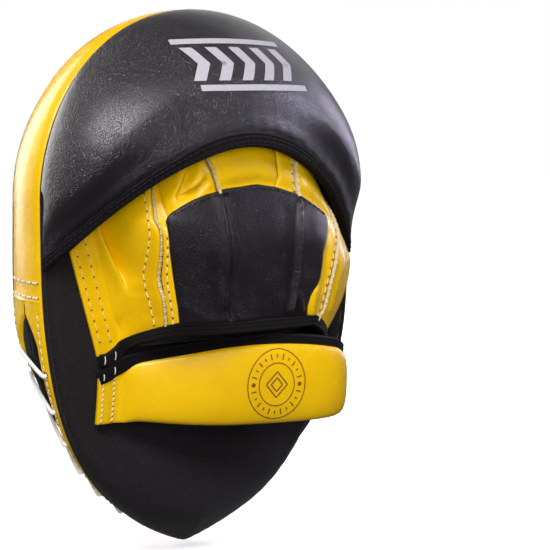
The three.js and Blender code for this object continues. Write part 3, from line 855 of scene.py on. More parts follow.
def strip_piece(name, side):
    """The yellow strip behind the slot (side -1) or in front of it (side 1), pressed in at its eyelets."""

    def slot_edge(angle):
        return wall_middle(angle) + side * slot_half(angle)

    back, front = (constant(WALL_BACK), slot_edge) if side < 0 else (slot_edge, wall_front)
    p = wall_grid(SLOT_START, SLOT_END, 420, back, front, steps(26, 10, 2))
    n = normals(p)
    holes = [eyelet(index, side, 0) for index in range(LACES)]
    edge = edge_distance(p, "vV")
    outer = p + n * (0.2 * waves(run_lengths(p, 0), edge, 40, 5) * smooth(edge / 4))[..., None]
    outer = tucked(outer, 2.6, 1.3, "vV")
    outer = dimpled(outer, n, holes, EYELET_RADIUS - 0.4, 1.3)
    return solid(name, outer, p - n * 2.2, YELLOW)


stands(strip_piece("gusset_rear_strip_leather", -1), "gusset_rear_strip")
stands(strip_piece("gusset_front_strip_leather", 1), "gusset_front_strip")


def eyelet_rings():
    parts = []
    for side in (-1, 1):
        for index in range(LACES):
            centre, top = eyelet(index, side, -1.0), eyelet(index, side, 0)
            up = unit(top - centre)
            across = unit(np.cross(up, [0.3, 0.9, 0.2]))
            other = np.cross(up, across)
            turn = circle(20)[:, None]
            radius = EYELET_RADIUS - 0.35
            ring = centre + up * 0.6 + radius * (np.cos(turn) * across + np.sin(turn) * other)
            parts.append(swept(ring, np.broadcast_to(up, ring.shape), ring_profile(0.35, 0.3, 6), True))
            # Painted shade: a dark disc across the hole stands in for the shade inside the eyelet; the ring
            # round its lip takes the same dark finish.
            flat = np.stack([centre - up * 0.3, centre + up * 0.15])
            parts.append(swept(flat, np.stack([across, across]), ring_profile(radius, radius, 14)))
    points, faces = joined(parts)
    return make("eyelet_rims_and_hole_shade", points, faces, [HOLE_SHADE])


rides(eyelet_rings())


def underlay_piece():
    """The ribbed tape under the slot, which swells up through the opening."""
    margin = SLOT_HALF + EYELET_EDGE + 1.2
    back, front = shifted(wall_middle, -margin), shifted(wall_middle, margin)
    span = (SLOT_START + 1, SLOT_END - 1, 200)
    rows = np.linspace(0, 1, 49)
    p = wall_grid(*span, back, front, rows, UNDERLAY_DEPTH)
    n = normals(p)
    across = (2 * rows[None] - 1) * margin / slot_half(wall_angles(*span))
    swell = (UNDERLAY_DEPTH - 0.8) * np.sqrt(np.maximum(0, 1 - across**4))
    p = p + n * swell[..., None]
    ridge_wave = 0.45 * np.abs(np.sin(run_lengths(p, 1) * math.pi / 3.1))
    return solid("slot_underlay_tape", p + n * ridge_wave[..., None], p - n * LINING, RIBBED)


stands(underlay_piece(), "slot_underlay")


def spline(points, per_span=10):
    """A smooth line through the points."""
    p = np.asarray(points, float)
    p = np.concatenate([[2 * p[0] - p[1]], p, [2 * p[-1] - p[-2]]])
    out = []
    for i in range(1, len(p) - 2):
        a, b, c, d = p[i - 1 : i + 3]
        t = np.linspace(0, 1, per_span, endpoint=False)[:, None]
        bow, twist = 2 * a - 5 * b + 4 * c - d, 3 * b - a - 3 * c + d
        out.append(0.5 * (2 * b + (c - a) * t + bow * t**2 + twist * t**3))
    return np.concatenate([*out, p[-2][None]])


def braided(path, radius):
    """A round cord of crossing strands along the path."""
    path = resampled(path, 0.28)
    along = path_lengths(path)[:, None]
    turn = circle(16)[None]
    pitch = 2 * math.pi / 3.4
    strands = np.abs(np.sin(1.5 * (turn + along * pitch))) * np.abs(np.sin(1.5 * (turn - along * pitch)))
    size = radius * (0.88 + 0.2 * strands)
    profile = np.stack([size * np.cos(turn), size * np.sin(turn)], -1)
    return path, profile


def lacing_piece():
    """One cord that crosses over the slot, goes down through an eyelet and returns below."""
    above, below = LACE_RADIUS + 0.5, LACE_RADIUS + 0.2 - UNDERLAY_DEPTH
    route = []
    for index in range(LACES):
        route += [eyelet(index, 1, below), eyelet(index, 1, -LEATHER / 2), eyelet(index, 1, above)]
        route.append(beside_slot(index + 0.25, 0, above - 0.3))
        route += [eyelet(index, -1, above), eyelet(index, -1, -LEATHER / 2), eyelet(index, -1, below)]
        if index < LACES - 1:
            route.append(beside_slot(index + 0.75, 0, below))
    path, profile = braided(spline(route, 12), LACE_RADIUS * 1.08)
    ups = np.broadcast_to(np.array([0.2, 0.95, 0.1]), path.shape)
    return cord_piece("lacing_cord_braid", path, ups, profile, LACE)


stands(lacing_piece(), "lacing_cord")


def wall_row(angle, d, sunk, above):
    """A path on the wall, sunk a little, with normals that point to a place above it."""
    path = wall_point(angle, d, sunk)
    return path, unit(wall_point(angle, d, -above) - path)


def wall_stitches():
    along = np.radians(np.linspace(SLOT_START + 2, SLOT_END - 1, 200))
    rows = [wall_row(along, d, 0.05, 0.95) for d in (wall_front(along) - 4.2, WALL_BACK + 3.0)]
    rides(stitched("strip_stitches", rows, THREAD, 4.2))
    cross = []
    for degrees in (SLOT_START - 2.7, SLOT_START - 0.4):
        angle = np.radians(np.full(40, degrees))
        d = np.linspace(WALL_BACK + 1.5, float(wall_front(angle[:1])[0]) - 1.5, 40)
        cross.append(wall_row(angle, d, -0.05, 1))
    rides(stitched("cross_stitches", cross, WHITE_THREAD, 4.0, 0.9, 0.42))


wall_stitches()


def piping(name, d, sunk, wide, finish):
    """A thin black cord round the seam between the side wall and a face of the pad."""
    profile = ring_profile(wide, 1.2)
    rides(cord_piece(name, *wall_row(ANGLES, d, sunk, 1), profile, finish, True))


piping("rear_seam_piping", -0.5, 1.6, 0.7, BACKING)
piping("front_seam_piping", rim_thickness(ANGLES) - RIM_ROLL - 1.0, 1.4, 1.2, BLACK)

# ---- finger hood ------------------------------------------------------------------------------

HOOD_BAND = 6.2
HOOD_LEATHER_FROM = HOOD_BAND - 1.6


def hood_edge(q):
    return lerp(HOOD_CORNER, HOOD_APEX, 1 - q * q)


def hood_point(q, t, inset, seam, height, lift=0.0):
    """A point of the hood: q from -1 to 1 across, t from 0 at its free edge to 1 at the rim."""
    free = hood_edge(q)
    rim = TOP * np.sqrt(np.maximum(0, 1 - q * q)) * (1 - inset / TOP)
    s = lerp(free, rim, t)
    x = q * (np.where(s > 0, WIDTH / 2, half_width(s)) - inset)
    out = np.where(s > 0, np.minimum(1, np.hypot(q, s / (TOP - inset))), np.abs(q))
    fullness = lerp(1, 0.5, smooth((s - free) / 34)) + 0.3 * smooth((s - 20) / 60)
    rise = np.maximum(0, 1 - out * out) ** fullness
    return bend(x, s, -lerp(seam, height, rise) - lift * np.minimum(1, rise * 6))


def hood_run(q):
    """Length of the hood from its free edge to the rim."""
    return TOP * np.sqrt(1 - q * q) - hood_edge(q)


def hood_q(count):
    return np.sin(np.linspace(-1, 1, count) * math.pi / 2)[:, None] * 0.9985


SHELL_OUT = (0, HOOD_SEAM, HOOD)
LINING_IN = (7.5, 0.3, HOOD - 8.5)


def under_hood(q, t, share, lift=0.0):
    """A point below the hood's outer face: share 1 is the inside of the lining, which closes up
    towards the thin free edge."""
    closing = lerp(0.42, 1, smooth(t * hood_run(q) / 26))
    outer = hood_point(q, t, *SHELL_OUT)
    return outer + (hood_point(q, t, *LINING_IN, lift=lift) - outer) * (closing * share)[..., None]


def hood_relief(q, t, from_edge, x):
    """Soft unevenness of the hood's leather: puckers by the binding, dents over the foam and a ridge."""
    pucker = 0.22 * np.sin(x * 2 * math.pi / 8.5 + 0.6 * np.sin(x / 11)) * np.exp(-from_edge / 7)
    swell = 0.5 * waves(x, from_edge, 62, 6) * smooth(from_edge / 18)
    to_rim = (1 - t) * hood_run(q)
    return (pucker + swell) * smooth(to_rim / 16) + 0.35 * hump(from_edge, 3.5, 6)


def hood_pieces():
    q = hood_q(150)
    t0 = HOOD_LEATHER_FROM / hood_run(q)
    share = (1 - (1 - np.linspace(0, 1, 76)) ** 1.25)[None]
    t = lerp(t0, 1, share)
    plain = hood_point(q, t, *SHELL_OUT)
    from_edge = (t - t0) * hood_run(q)
    relief = hood_relief(q, t, from_edge, plain[..., 0]) - 0.7 * hump(from_edge, 2.2, 1)
    outer = hood_point(q, t, *SHELL_OUT, lift=relief)
    inner = under_hood(q, t, 0.8)
    shell = solid("hood_shell_leather", outer, inner, BLACK)
    stands(shell, "hood_shell", "hood_foam")
    ripple = 0.5 * waves(plain[..., 0], from_edge, 30, 7) - 0.4
    sides = under_hood(q, t, 0.88, ripple), under_hood(q, t, 1.0, ripple)
    stands(solid("hood_lining_cloth", *sides, INSIDE), "hood_lining")


hood_pieces()


def hood_band():
    """The tape folded over the free edge, with its rows of stitching."""
    q = hood_q(220)
    rows = np.concatenate([[0, 0.03, 0.08, 0.14], np.linspace(0.2, 0.94, 22), [0.97, 1]])[None]
    t = rows * HOOD_BAND / hood_run(q)
    ridges = 0.62 * np.abs(np.cos((rows - 0.1) * math.pi * 3.5)) ** 0.7
    rolled = 2.4 * round_drop(clamp(1 - rows / 0.22)) + 0.7 * round_drop(clamp(1 - (1 - rows) / 0.07))
    weave = 0.1 * np.sin(np.arange(220)[:, None] * 2.1 + rows * 9)
    lift = 0.75 + ridges + weave - rolled
    outer = hood_point(q, t, *SHELL_OUT, lift=lift)
    inner = under_hood(q, t, 1.1)
    return solid("hood_binding_tape", outer, inner, TAPE)


stands(hood_band(), "hood_binding")


def hood_surface(x, s, lift=0.0):
    """A point of the hood's leather over (x, s), above s = 0."""
    q = x / (WIDTH / 2)
    t = (s - hood_edge(q)) / hood_run(q)
    from_edge = t * hood_run(q) - HOOD_LEATHER_FROM
    return hood_point(q, t, *SHELL_OUT, lift=hood_relief(q, t, from_edge, x) + lift)


def band_stitches():
    """Black stitches in two rows on the hood's tape."""
    rows = []
    for share in (0.32, 0.72):
        q = hood_q(300)
        t = share * HOOD_BAND / hood_run(q)
        path = hood_point(q, t, *SHELL_OUT, lift=0.85)[:, 0]
        higher = hood_point(q, t, *SHELL_OUT, lift=2)[:, 0]
        keep = slice(6, -6)
        rows.append((path[keep], unit(higher - path)[keep]))
    return stitched("hood_tape_stitches", rows, BLACK_THREAD, 3.2, 0.85, 0.3, holes=False)


rides(band_stitches())


PRINT_LIFT = 0.12


def print_patch(surface, corners, size=(8, 5)):
    """One printed shape: a thin raised patch between four corners given as (x, s)."""
    u = np.linspace(0, 1, size[0])[:, None, None]
    v = np.linspace(0, 1, size[1])[None, :, None]
    a, b, c, d = (np.array(corner, float) for corner in corners)
    at = lerp(lerp(a, b, u), lerp(d, c, u), v)
    outer, inner = (surface(at[..., 0], at[..., 1], lift) for lift in (PRINT_LIFT, -0.2))
    return np.concatenate([outer.reshape(-1, 3), inner.reshape(-1, 3)]), closed_faces(size)


def chevrons(name, surface, centre, width=66, height=27, count=5):
    """A generic row of chevrons between two bars."""
    cx, cs = centre
    cell = width / count
    nib, thick = cell * 0.42, cell * 0.48
    parts = []
    for k in range(count):
        left = cx - width / 2 + k * cell
        for end in (-1, 1):
            top = cs + end * height * 0.3
            corners = [(left + nib, cs), (left + nib + thick, cs), (left + thick, top), (left, top)]
            parts.append(print_patch(surface, corners))
    for end in (-1, 1):
        bar, tall = cs + end * height * 0.42, height * 0.05
        start, stop = (cx + half - end * cell * 0.2 for half in (-width / 2, width / 2))
        corners = [(start, bar - tall), (stop, bar - tall), (stop, bar + tall), (start, bar + tall)]
        parts.append(print_patch(surface, corners, (40, 4)))
    points, faces = joined(parts)
    return make(name, points, faces, [PRINT])


rides(chevrons("hood_print", hood_surface, (7, 62)))
rides(chevrons("face_print", on_face, (0, 42)))

# ---- glove --------------------------------------------------------------------------------------


def flange_edge(s):
    return np.where(s < -10, -62 - 0.28 * (s + 80), -81.6 + 0.35 * (s + 10))


def thumb_foot(s):
    """x of the glove's foot on the thumb side, inside the flange."""
    return flange_edge(s) + FLANGE + GAP


def little_foot(s):
    """x of the glove's foot on the little-finger side."""
    low = 83 - 0.0115 * (s + 34) ** 2
    high = 83 - 0.5 * (np.minimum(s, 20) + 34) - 0.2 * np.maximum(0, s - 20)
    return np.where(s < -34, low, high)


def glove_ridge(s):
    knuckles = lerp(GLOVE, GLOVE_UNDER_HOOD, smooth((s + 25) / 45))
    wrist = 0.0018 * np.minimum(0, s + 20) ** 2
    fingers = 0.3 * np.maximum(0, s - 20)
    return (knuckles - wrist - fingers) * np.sqrt(1 - clamp((s - 50) / 23) ** 2)


def glove_base(x, s):
    """Height of the glove over the palm without its folds."""
    thumb_run = clamp((x - thumb_foot(s)) / (GLOVE_MIDDLE - thumb_foot(s)))
    little_run = clamp((little_foot(s) - x) / (little_foot(s) - GLOVE_MIDDLE))
    thumb_share = (1 - (1 - thumb_run) ** 3.4) ** 0.85 * lerp(0.45, 1, smooth(thumb_run / 0.3))
    little_share = (1 - (1 - little_run) ** 3.4) ** lerp(0.5, 0.66, smooth((s + 28) / 30))
    share = np.where(x < GLOVE_MIDDLE, thumb_share, little_share)
    return lerp(GLOVE_HEM, np.maximum(GLOVE_HEM, glove_ridge(s)), share)


# Seams of the glove as x over s, from the cuff up, and the arched top of the knuckle patch.
thumb_seam = through(
    [(-80, -36), (-66, -38.5), (-59, -39.5), (-38, -43.5), (-10.5, -45.5), (2, -45), (14, -43), (40, -38)]
)
patch_left = through([(-80, -33), (-59, -36), (-43, -39), (-23.5, -42.5), (-10, -43.5), (0, -43.8)])
BY_THE_HEEL = [(-80, 38), (-62, 36), (-55, 35.6), (-50, 37), (-46, 40.5), (-42, 42.8)]
BY_THE_HEEL += [(-28, 45), (-12, 54)]
patch_right = through([*BY_THE_HEEL, (0, 55)])
heel_left = through([*BY_THE_HEEL, (4, 55), (20, 50)])
heel_seam = through([(-80, 40), (-63.5, 43), (-57, 47.5), (-43, 51), (-30, 55), (-19, 61), (-6, 64), (20, 60)])
patch_arch = through(
    [(-46, -12), (-43.5, -8.5), (-41.5, -5.5), (-36, -2.2), (-29.5, 1), (-23, 3.2), (-11.5, 5.8)]
    + [(8, 7.5), (19, 5.8), (34, 1.4), (44, -3.6), (50, -7), (53, -10), (56, -14)]
)
STALL_SEAMS = {
    "index": through([(-20, -14), (5.5, -15), (14.5, -17), (20.5, -20), (72, -10)]),
    "middle": through([(-20, 12), (11, 21.5), (22, 21), (72, 10)]),
    "ring": through([(-20, 32), (1.5, 32.5), (10.5, 33), (19.5, 34), (72, 24)]),
}

# Folds of the glove's leather: line of (x, s), width, height.
FOLDS = [
    ([(-65.5, 6), (-63, -8), (-59.5, -19), (-55, -30), (-51.5, -39), (-50, -46)], (1.5, 6.5), -7.5),
    ([(-69.1, 6), (-66.6, -8), (-63.1, -19), (-58.6, -30), (-55.1, -39), (-53.6, -46)], (2.0, 1.9), 2.6),
    ([(-43.5, -8), (-41, 4), (-38, 24)], 4.2, -5.0),
    ([(-71, -4), (-68, -16), (-64, -28)], 4.0, 1.0),
    ([(-47, -46), (-47.5, -56), (-49.5, -62), (-54, -67)], 3.6, -2.8),
    ([(-43, -48), (-43.5, -56), (-45, -63)], 3.6, 1.8),
    ([(-50, -8), (-48.5, -20), (-46.5, -38), (-43, -56)], 2.6, -1.3),
    ([[(-26.5, 22), (-30, 12), (-35, 2)], [(-22, 9), (-27, 4.5), (-35, 2)]], 1.7, -3.6),
    ([(-33, 20), (-36, 8), (-39, -1)], 3.2, 1.5),
    ([(-24, 16), (-26, 8)], 2.6, 1.4),
]
THUMB_FOLDS, PATCH_SIDE_FOLD = FOLDS[:3], FOLDS[6]
PATCH_FOLDS = [
    ([[(32, -3), (29, -14), (28, -24), (27, -38), (26, -48), (24, -56)], [(26, -44), (30, -56)]], 1.7, 2.6),
    ([(37, -6), (35, -18), (34, -34)], 4.0, -0.9),
    ([(22, -8), (20, -24), (20, -44)], 5.0, -0.8),
    ([(-12.5, 2), (-12, -12), (-12, -30), (-11.5, -58)], 1.1, -1.3),
    ([(-16, 0), (-15.5, -16), (-15.5, -50)], 2.6, 1.6),
    ([(-8, 0), (-8, -16), (-7, -50)], 3.4, -0.6),
    ([(-30, -20), (-20, -34), (-4, -44)], 8.0, -0.8),
    ([(-38, -50), (-24, -58), (0, -60)], 3.0, 0.6),
]


def glove_height(x, s, folds):
    height = glove_base(x, s) + 0.35 * waves(x, s, 46, 8)
    for line, width, rise in folds:
        height = height + fold(x, s, line, width, rise)
    return np.maximum(height, 2.2)


def glove_cuff(x):
    return -62.5 - 17 * smooth((-33 - x) / 27) - 11 * smooth((x - 38) / 22)


def hood_cover(x):
    """s well under the hood's free edge, where a glove panel may end."""
    return hood_edge(np.clip(x / (WIDTH / 2), -1, 1)) + 13


def panel_grid(left, right, low, high, count):
    """x and s over a panel between two seams and two cross edges."""
    width, height = count
    u = steps(width, 40, 2.5)[:, None]
    v = steps(height, 70, 2.5)[None]
    s = lerp(-60.0, 10.0, v) + 0 * u
    x = lerp(left(s), right(s), u)
    for _ in range(8):
        s = lerp(low(x), high(x), v)
        x = lerp(left(s), right(s), u)
    return x, s


GLOVE_LEATHER = 1.7
above_cuff = shifted(glove_cuff, 2.0)


def glove_panel(name, line, lift, folds, count, finish=YELLOW, thickness=GLOVE_LEATHER, roll=(2.6, 1.2)):
    """A panel of the glove from the cuff up. line is its left seam, right seam and upper edge."""
    left, right, high = line
    x, s = panel_grid(left, right, above_cuff, high, count)
    p = bend(x, s, -(glove_height(x, s, folds) + lift))
    return panel(name, p, thickness, finish, *roll)


def flange_height(x, s):
    """Flat on the pad within some millimetres of the outer edge, then rising with the glove."""
    return lerp(2.3, glove_height(x, s, FOLDS), smooth((x - flange_edge(s) - 7) / 7))


def thumb_side():
    """The thumb panel and its flange are one skin, sewn flat to the pad along the outer edge."""
    x, s = panel_grid(flange_edge, shifted(thumb_seam, -0.4), above_cuff, hood_cover, (84, 84))
    p = bend(x, s, -flange_height(x, s))
    return panel("thumb_panel_leather", p, GLOVE_LEATHER, YELLOW, 1.8)


stands(thumb_side(), "thumb_panel", "glove_flange")

patch_line = patch_left, patch_right, patch_arch
patch_folds = [PATCH_SIDE_FOLD, *PATCH_FOLDS]
patch = glove_panel("knuckle_patch_leather", patch_line, 0.9, patch_folds, (90, 70), GRAINED, 2.0, (2.4, 1.3))
stands(patch, "knuckle_patch")
thumb_line = shifted(thumb_seam, 0.4), shifted(patch_left, 3), constant(24.0)
rides(glove_panel("thumb_gusset_strip", thumb_line, -0.2, THUMB_FOLDS, (12, 80)))
heel_line = shifted(heel_left, -3), shifted(heel_seam, -0.4), constant(8.0)
heel_folds = [([(50, -20), (47, -34), (46, -46)], 2.5, -1.0), ([(40, -48), (38.5, -56), (39, -62)], 3.0, 1.6)]
rides(glove_panel("heel_strip_leather", heel_line, -0.1, heel_folds, (24, 70)))
side_line = shifted(heel_seam, 0.4), little_foot, constant(10.0)
side_folds = [([(62, -32), (58, -44), (54, -58)], 2.6, 0.9)]
stands(glove_panel("heel_panel_leather", side_line, 0, side_folds, (40, 70)), "heel_panel")
arch_low = shifted(patch_arch, -7)


def stall(name, left, right, node, folds=FOLDS, puff=1.6):
    """A finger stall: a soft tube of leather between two seams, closing at its tip."""
    x, s = panel_grid(left, right, arch_low, constant(GLOVE_TIP - 2), (34, 74))
    across = (x - left(s)) / (right(s) - left(s))
    swell = puff * (1 - (2 * across - 1) ** 4) * smooth((s - patch_arch(x) + 1) / 9)
    swell = swell - 0.9 * (1 - smooth((s - patch_arch(x)) / 5))
    p = bend(x, s, -(glove_height(x, s, folds) + swell))
    stands(panel(name, p, GLOVE_LEATHER, YELLOW, 2.8, 1.3), node)


stall("thumb_stall_leather", thumb_foot, shifted(thumb_seam, -0.4), "thumb_stall", puff=0)
index_seam, middle_seam, ring_seam = STALL_SEAMS.values()
stall("index_stall_leather", shifted(patch_left, 2.4), shifted(index_seam, -0.3), "index_stall")
stall("middle_stall_leather", shifted(index_seam, 0.3), shifted(middle_seam, 0.4), "middle_stall", [], 2.4)
stall("ring_stall_leather", shifted(middle_seam, -0.2), shifted(ring_seam, -0.3), "ring_stall", [], 1.0)


def little_edge(s):
    return np.minimum(heel_seam(s), little_foot(s)) - 1


stall("little_stall_leather", shifted(ring_seam, 0.3), little_edge, "little_stall", [], 2.0)


def glove_row(places, lift, folds=FOLDS):
    """A smooth path over the glove through (x, s) places, with its normals."""
    line = spline(places, 14)
    x, s = line[:, 0], line[:, 1]
    path = bend(x, s, -(glove_height(x, s, folds) + lift))
    sideways = bend(x + 0.5, s, -(glove_height(x + 0.5, s, folds) + lift)) - path
    onward = bend(x, s + 0.5, -(glove_height(x, s + 0.5, folds) + lift)) - path
    return path, unit(np.cross(sideways, onward))


def seam_row(line, offset, low, high, count, lift, folds=FOLDS):
    """A path beside a seam of the glove, with its normals."""
    s = np.linspace(low, high, count)
    return glove_row(np.stack([line(s) + offset, s], 1), lift, folds)


def welt(name, line, low, high, wide, tall, folds=FOLDS):
    """The raised raw edge of a turned seam, standing between two panels."""
    path, ups = seam_row(line, 0, low, high, 40, 0.3, folds)
    along = path_lengths(path)[:, None]
    uneven = 1 + 0.12 * np.sin(along * 1.9) + 0.08 * np.sin(along * 4.3 + 1)
    profile = ring_profile(wide, tall, 12)[None] * uneven[..., None]
    return rides(cord_piece(name, path, ups, profile, RAW))


welt("thumb_seam_edge", thumb_seam, -61, 20, 0.6, 1.3)
welt("heel_seam_edge", heel_seam, -66, 0, 0.7, 1.1, [])
welt("index_seam_edge", index_seam, 3, 40, 0.55, 1.9, [])
welt("ring_seam_edge", ring_seam, 0, 40, 0.55, 1.9, [])


HANDWARD = np.array([0.0, -1.0, 0.0])


def flange_rows():
    for inset in (3.0, 9.2):
        s = np.linspace(-71, -4 - inset * 0.8, 40)
        x = flange_edge(s) + inset
        path = bend(x, s, -flange_height(x, s))
        yield path, np.broadcast_to(HANDWARD, path.shape)


rides(stitched("flange_stitches", flange_rows(), TONED_THREAD, 5.2, 0.72, 0.3))
thumb_rows = [
    seam_row(thumb_seam, -3.2, -62, 16, 16, 0.05),
    seam_row(thumb_seam, 2.2, -62, -14, 12, -0.1, THUMB_FOLDS),
]
heel_rows = [seam_row(heel_seam, -2.6, -62, -6, 14, -0.1, [])]
ring_rows = [seam_row(ring_seam, -3, 2, 24, 8, 1.0, [])]
rides(stitched("thumb_seam_stitches", thumb_rows, THREAD, 4.4, 0.7, 0.34))
rides(stitched("heel_seam_stitches", heel_rows, THREAD, 4.4, 0.7, 0.34))
rides(stitched("ring_seam_stitches", ring_rows, THREAD, 4.4, 0.7, 0.32))
edge_places = [(x, patch_arch(x) - 2.0) for x in np.linspace(-40, 51, 24)]
patch_rows = [glove_row(edge_places, 0.95, PATCH_FOLDS)]
rides(stitched("patch_stitches", patch_rows, BLACK_THREAD, 3.6, 0.75, 0.32, holes=False))


def lining_pieces():
    """The lining under the glove's leather and the one on the palm."""
    little = shifted(little_foot, -6)
    low, high = shifted(glove_cuff, 1.5), constant(GLOVE_TIP - 8)
    x, s = panel_grid(shifted(thumb_foot, 8), little, low, high, (60, 60))
    height = glove_base(x, s) - 4.4 + 0.3 * waves(x, s, 24, 9)
    height = np.minimum(height, glove_height(x, s, FOLDS) - 3.2)
    p = bend(x, s, -np.maximum(1.8, height))
    stands(panel("glove_lining_cloth", p, LINING, INSIDE), "glove_lining")
    x, s = panel_grid(shifted(thumb_foot, 4), little, constant(-74.0), constant(GLOVE_TIP - 6), (50, 60))
    p = bend(x, s, -(1.35 + 0.2 * waves(x, s, 26, 10)))
    stands(panel("palm_lining_cloth", p, LINING, INSIDE), "palm_lining")


lining_pieces()


def band_profile(width, thick, ribs):
    """A folded tape seen end on: ribbed outside, rounded at both edges. Side runs down the strap."""
    side = np.linspace(-width / 2, width / 2, 26)
    edge = 1 - np.abs(side) / (width / 2)
    half = thick * (1 - (1 - clamp(edge / 0.35)) ** 2.2 * 0.55)
    top = half + 0.28 * np.abs(np.cos(side / width * math.pi * ribs)) ** 0.7
    return np.concatenate([np.stack([side, top], 1), np.stack([side, -half], 1)[::-1]])


def cuff_band():
    """The tape folded over the glove's lower edge."""
    x = np.concatenate([np.linspace(-61.8, 60, 150), np.linspace(61, 78, 20)])
    s = glove_cuff(x) + 0.2
    base = lerp(3.4, glove_base(x, s), smooth((x + 58) / 18))
    path = bend(x, s, -(base - 0.4))
    higher = bend(x, s, -(base + 1))
    sideways = unit(np.gradient(path, axis=0))
    down = unit(bend(x, s + 1, -base) - bend(x, s, -base))
    ups = unit(np.cross(sideways, down))
    ups = np.where((np.sum(ups * (higher - path), -1) < 0)[:, None], -ups, ups)
    return cord_piece("glove_binding_tape", path, ups, band_profile(6.2, 1.9, 3), TAPE)


stands(cuff_band(), "glove_binding")

# ---- wrist strap ----------------------------------------------------------------------------------

# The strap's arch over the wrist as (x, height), from its sewn end to its closure.
ARCH = [(-62.4, 3.6), (-57, 4.3), (-52, 5), (-40, 13), (-22, 25.5), (0, 36)]
ARCH += [(28, 43.5), (49, 46), (60, 42), (64.5, 31), (65, 17)]
arch_line = resampled(spline(ARCH, 30), 0.6)
arch_run = path_lengths(arch_line)
SEWN = float(np.interp(STRAP_SEAM, arch_line[:60, 0], arch_run[:60]))


def strap_low(x):
    return lerp(-111.4, -107, (x - STRAP_SEAM) / 112)


def strap_high(x):
    return -68 - 11 * ((x - 15) / 67) ** 2 - 3.8 * smooth((-44 - x) / 16) - 2.6 * smooth((x - 52) / 12)


def strap_place(run, v, depth):
    """A point of the strap: run along the arch, v from its lower to its upper edge, depth below its face."""
    run, v, depth = np.broadcast_arrays(run, v, depth)
    x = np.interp(run, arch_run, arch_line[:, 0])
    h = np.interp(run, arch_run, arch_line[:, 1])
    ahead = unit(np.gradient(arch_line, axis=0))
    ax, ah = np.interp(run, arch_run, ahead[:, 0]), np.interp(run, arch_run, ahead[:, 1])
    s = lerp(strap_low(x), strap_high(x), v)
    return bend(x + ah * depth, s, -(h - ax * depth))


def strap_row(run, v, depth, above=3):
    """A path on the strap, with normals that point to a place above it."""
    path = strap_place(run, v, depth)
    return path, unit(strap_place(run, v, -above) - path)


def strap_fill(run):
    """0 at the sewn end, 1 along the padded strap, 0 at the closure."""
    return smooth((run - SEWN) / 12) * smooth((arch_run[-1] - run) / 10)


STRAP_WIDTH, STRAP_LEATHER = 36, 0.93
STRAP_ROLL, STRAP_ROLL_DEPTH = 4.6, 3.0


def strap_crown(run, v):
    """Height of the padded strap's crown. Its leather takes up the share STRAP_LEATHER of the width."""
    across = v / STRAP_LEATHER
    return 2.6 * (1 - (2 * across - 1) ** 4) - 0.8 + 0.6 * waves(run, across * 30, 58, 12)


def strap_pieces():
    """The strap's padded leather and its lining."""
    run = (steps(190, arch_run[-1], 3) * arch_run[-1])[:, None]
    v = (steps(50, STRAP_WIDTH, 4) * STRAP_LEATHER)[None]
    fill = strap_fill(run)
    outer = strap_place(run, v, 0.8 * hump(run, 2.2, SEWN + 1) - fill * strap_crown(run, v))
    share = clamp(1 - edge_distance(outer, "vV") / lerp(1.0, STRAP_ROLL, fill))
    end_share = clamp(1 - edge_distance(outer, "uU") / 1.2)
    drop = lerp(0.8, STRAP_ROLL_DEPTH, fill) * round_drop(share) + 0.8 * round_drop(end_share)
    outer = outer - normals(outer) * drop[..., None]
    inner = strap_place(run, v, 2.3 + 3.4 * fill + 0 * v)
    pad = solid("strap_cover_leather", outer, inner, YELLOW)
    bends(pad, "strap_cover", "strap_cover", "strap_foam", "strap_anchor")
    run = np.linspace(SEWN + 3, arch_run[-1], 120)[:, None]
    depth = 2.5 + 3.5 * strap_fill(run) + 0.25 * waves(run, v * 30, 20, 13)
    sides = (strap_place(run, v * 1.01 - 0.012, deep) for deep in (depth, depth + LINING))
    stands(solid("strap_lining_cloth", *sides, INSIDE), "strap_lining", body="wrist_strap")


strap_pieces()


def strap_band():
    """The folded tape over the strap's upper edge."""
    run = resampled(np.array([(0, 0), (0, arch_run[-1])]), 0.9)[:, 1]
    fill = strap_fill(run)
    path, ups = strap_row(run, 0.935, 1.2 + 3.0 * fill, 5)
    sizes = zip(lerp(7.4, 5.4, fill), lerp(1.9, 3.1, fill))
    profile = np.stack([band_profile(wide, thick, 3) for wide, thick in sizes])
    return cord_piece("strap_binding_tape", path, ups, profile, TAPE)


bends(strap_band(), "strap_binding", "strap_binding")


def sewn_end():
    """Two rows of thread that hold the strap and both tapes down on the mitt."""
    rows, tape_rows = [], []
    for run in (2.2, 8.2):
        rows.append(strap_row(run, np.linspace(0.03, 0.84, 30), 0.15))
        tape_rows.append(strap_row(run, np.linspace(0.86, 1.0, 12), -0.9))
        x = strap_place(run, 0.5, 0)[0]
        path = bend(x, np.linspace(glove_cuff(x) - 2.0, glove_cuff(x) + 3.0, 12), -5.1)
        tape_rows.append((path, np.broadcast_to(HANDWARD, path.shape)))
    rides(stitched("sewn_end_stitches", rows, THREAD, 2.6, 0.9, 0.4, slant=0.9))
    tape_stitches = stitched("tape_end_stitches", tape_rows, WHITE_THREAD, 2.8, 0.85, 0.27, holes=False)
    rides(tape_stitches)


sewn_end()


def strap_surface(run, s, lift):
    """A point of the strap's leather from its run and its s."""
    x = np.interp(run, arch_run, arch_line[:, 0])
    v = (s - strap_low(x)) / (strap_high(x) - strap_low(x))
    share = clamp(1 - np.minimum(v, STRAP_LEATHER - v) * STRAP_WIDTH / STRAP_ROLL)
    return strap_place(run, v, STRAP_ROLL_DEPTH * round_drop(share) - strap_crown(run, v) - lift)


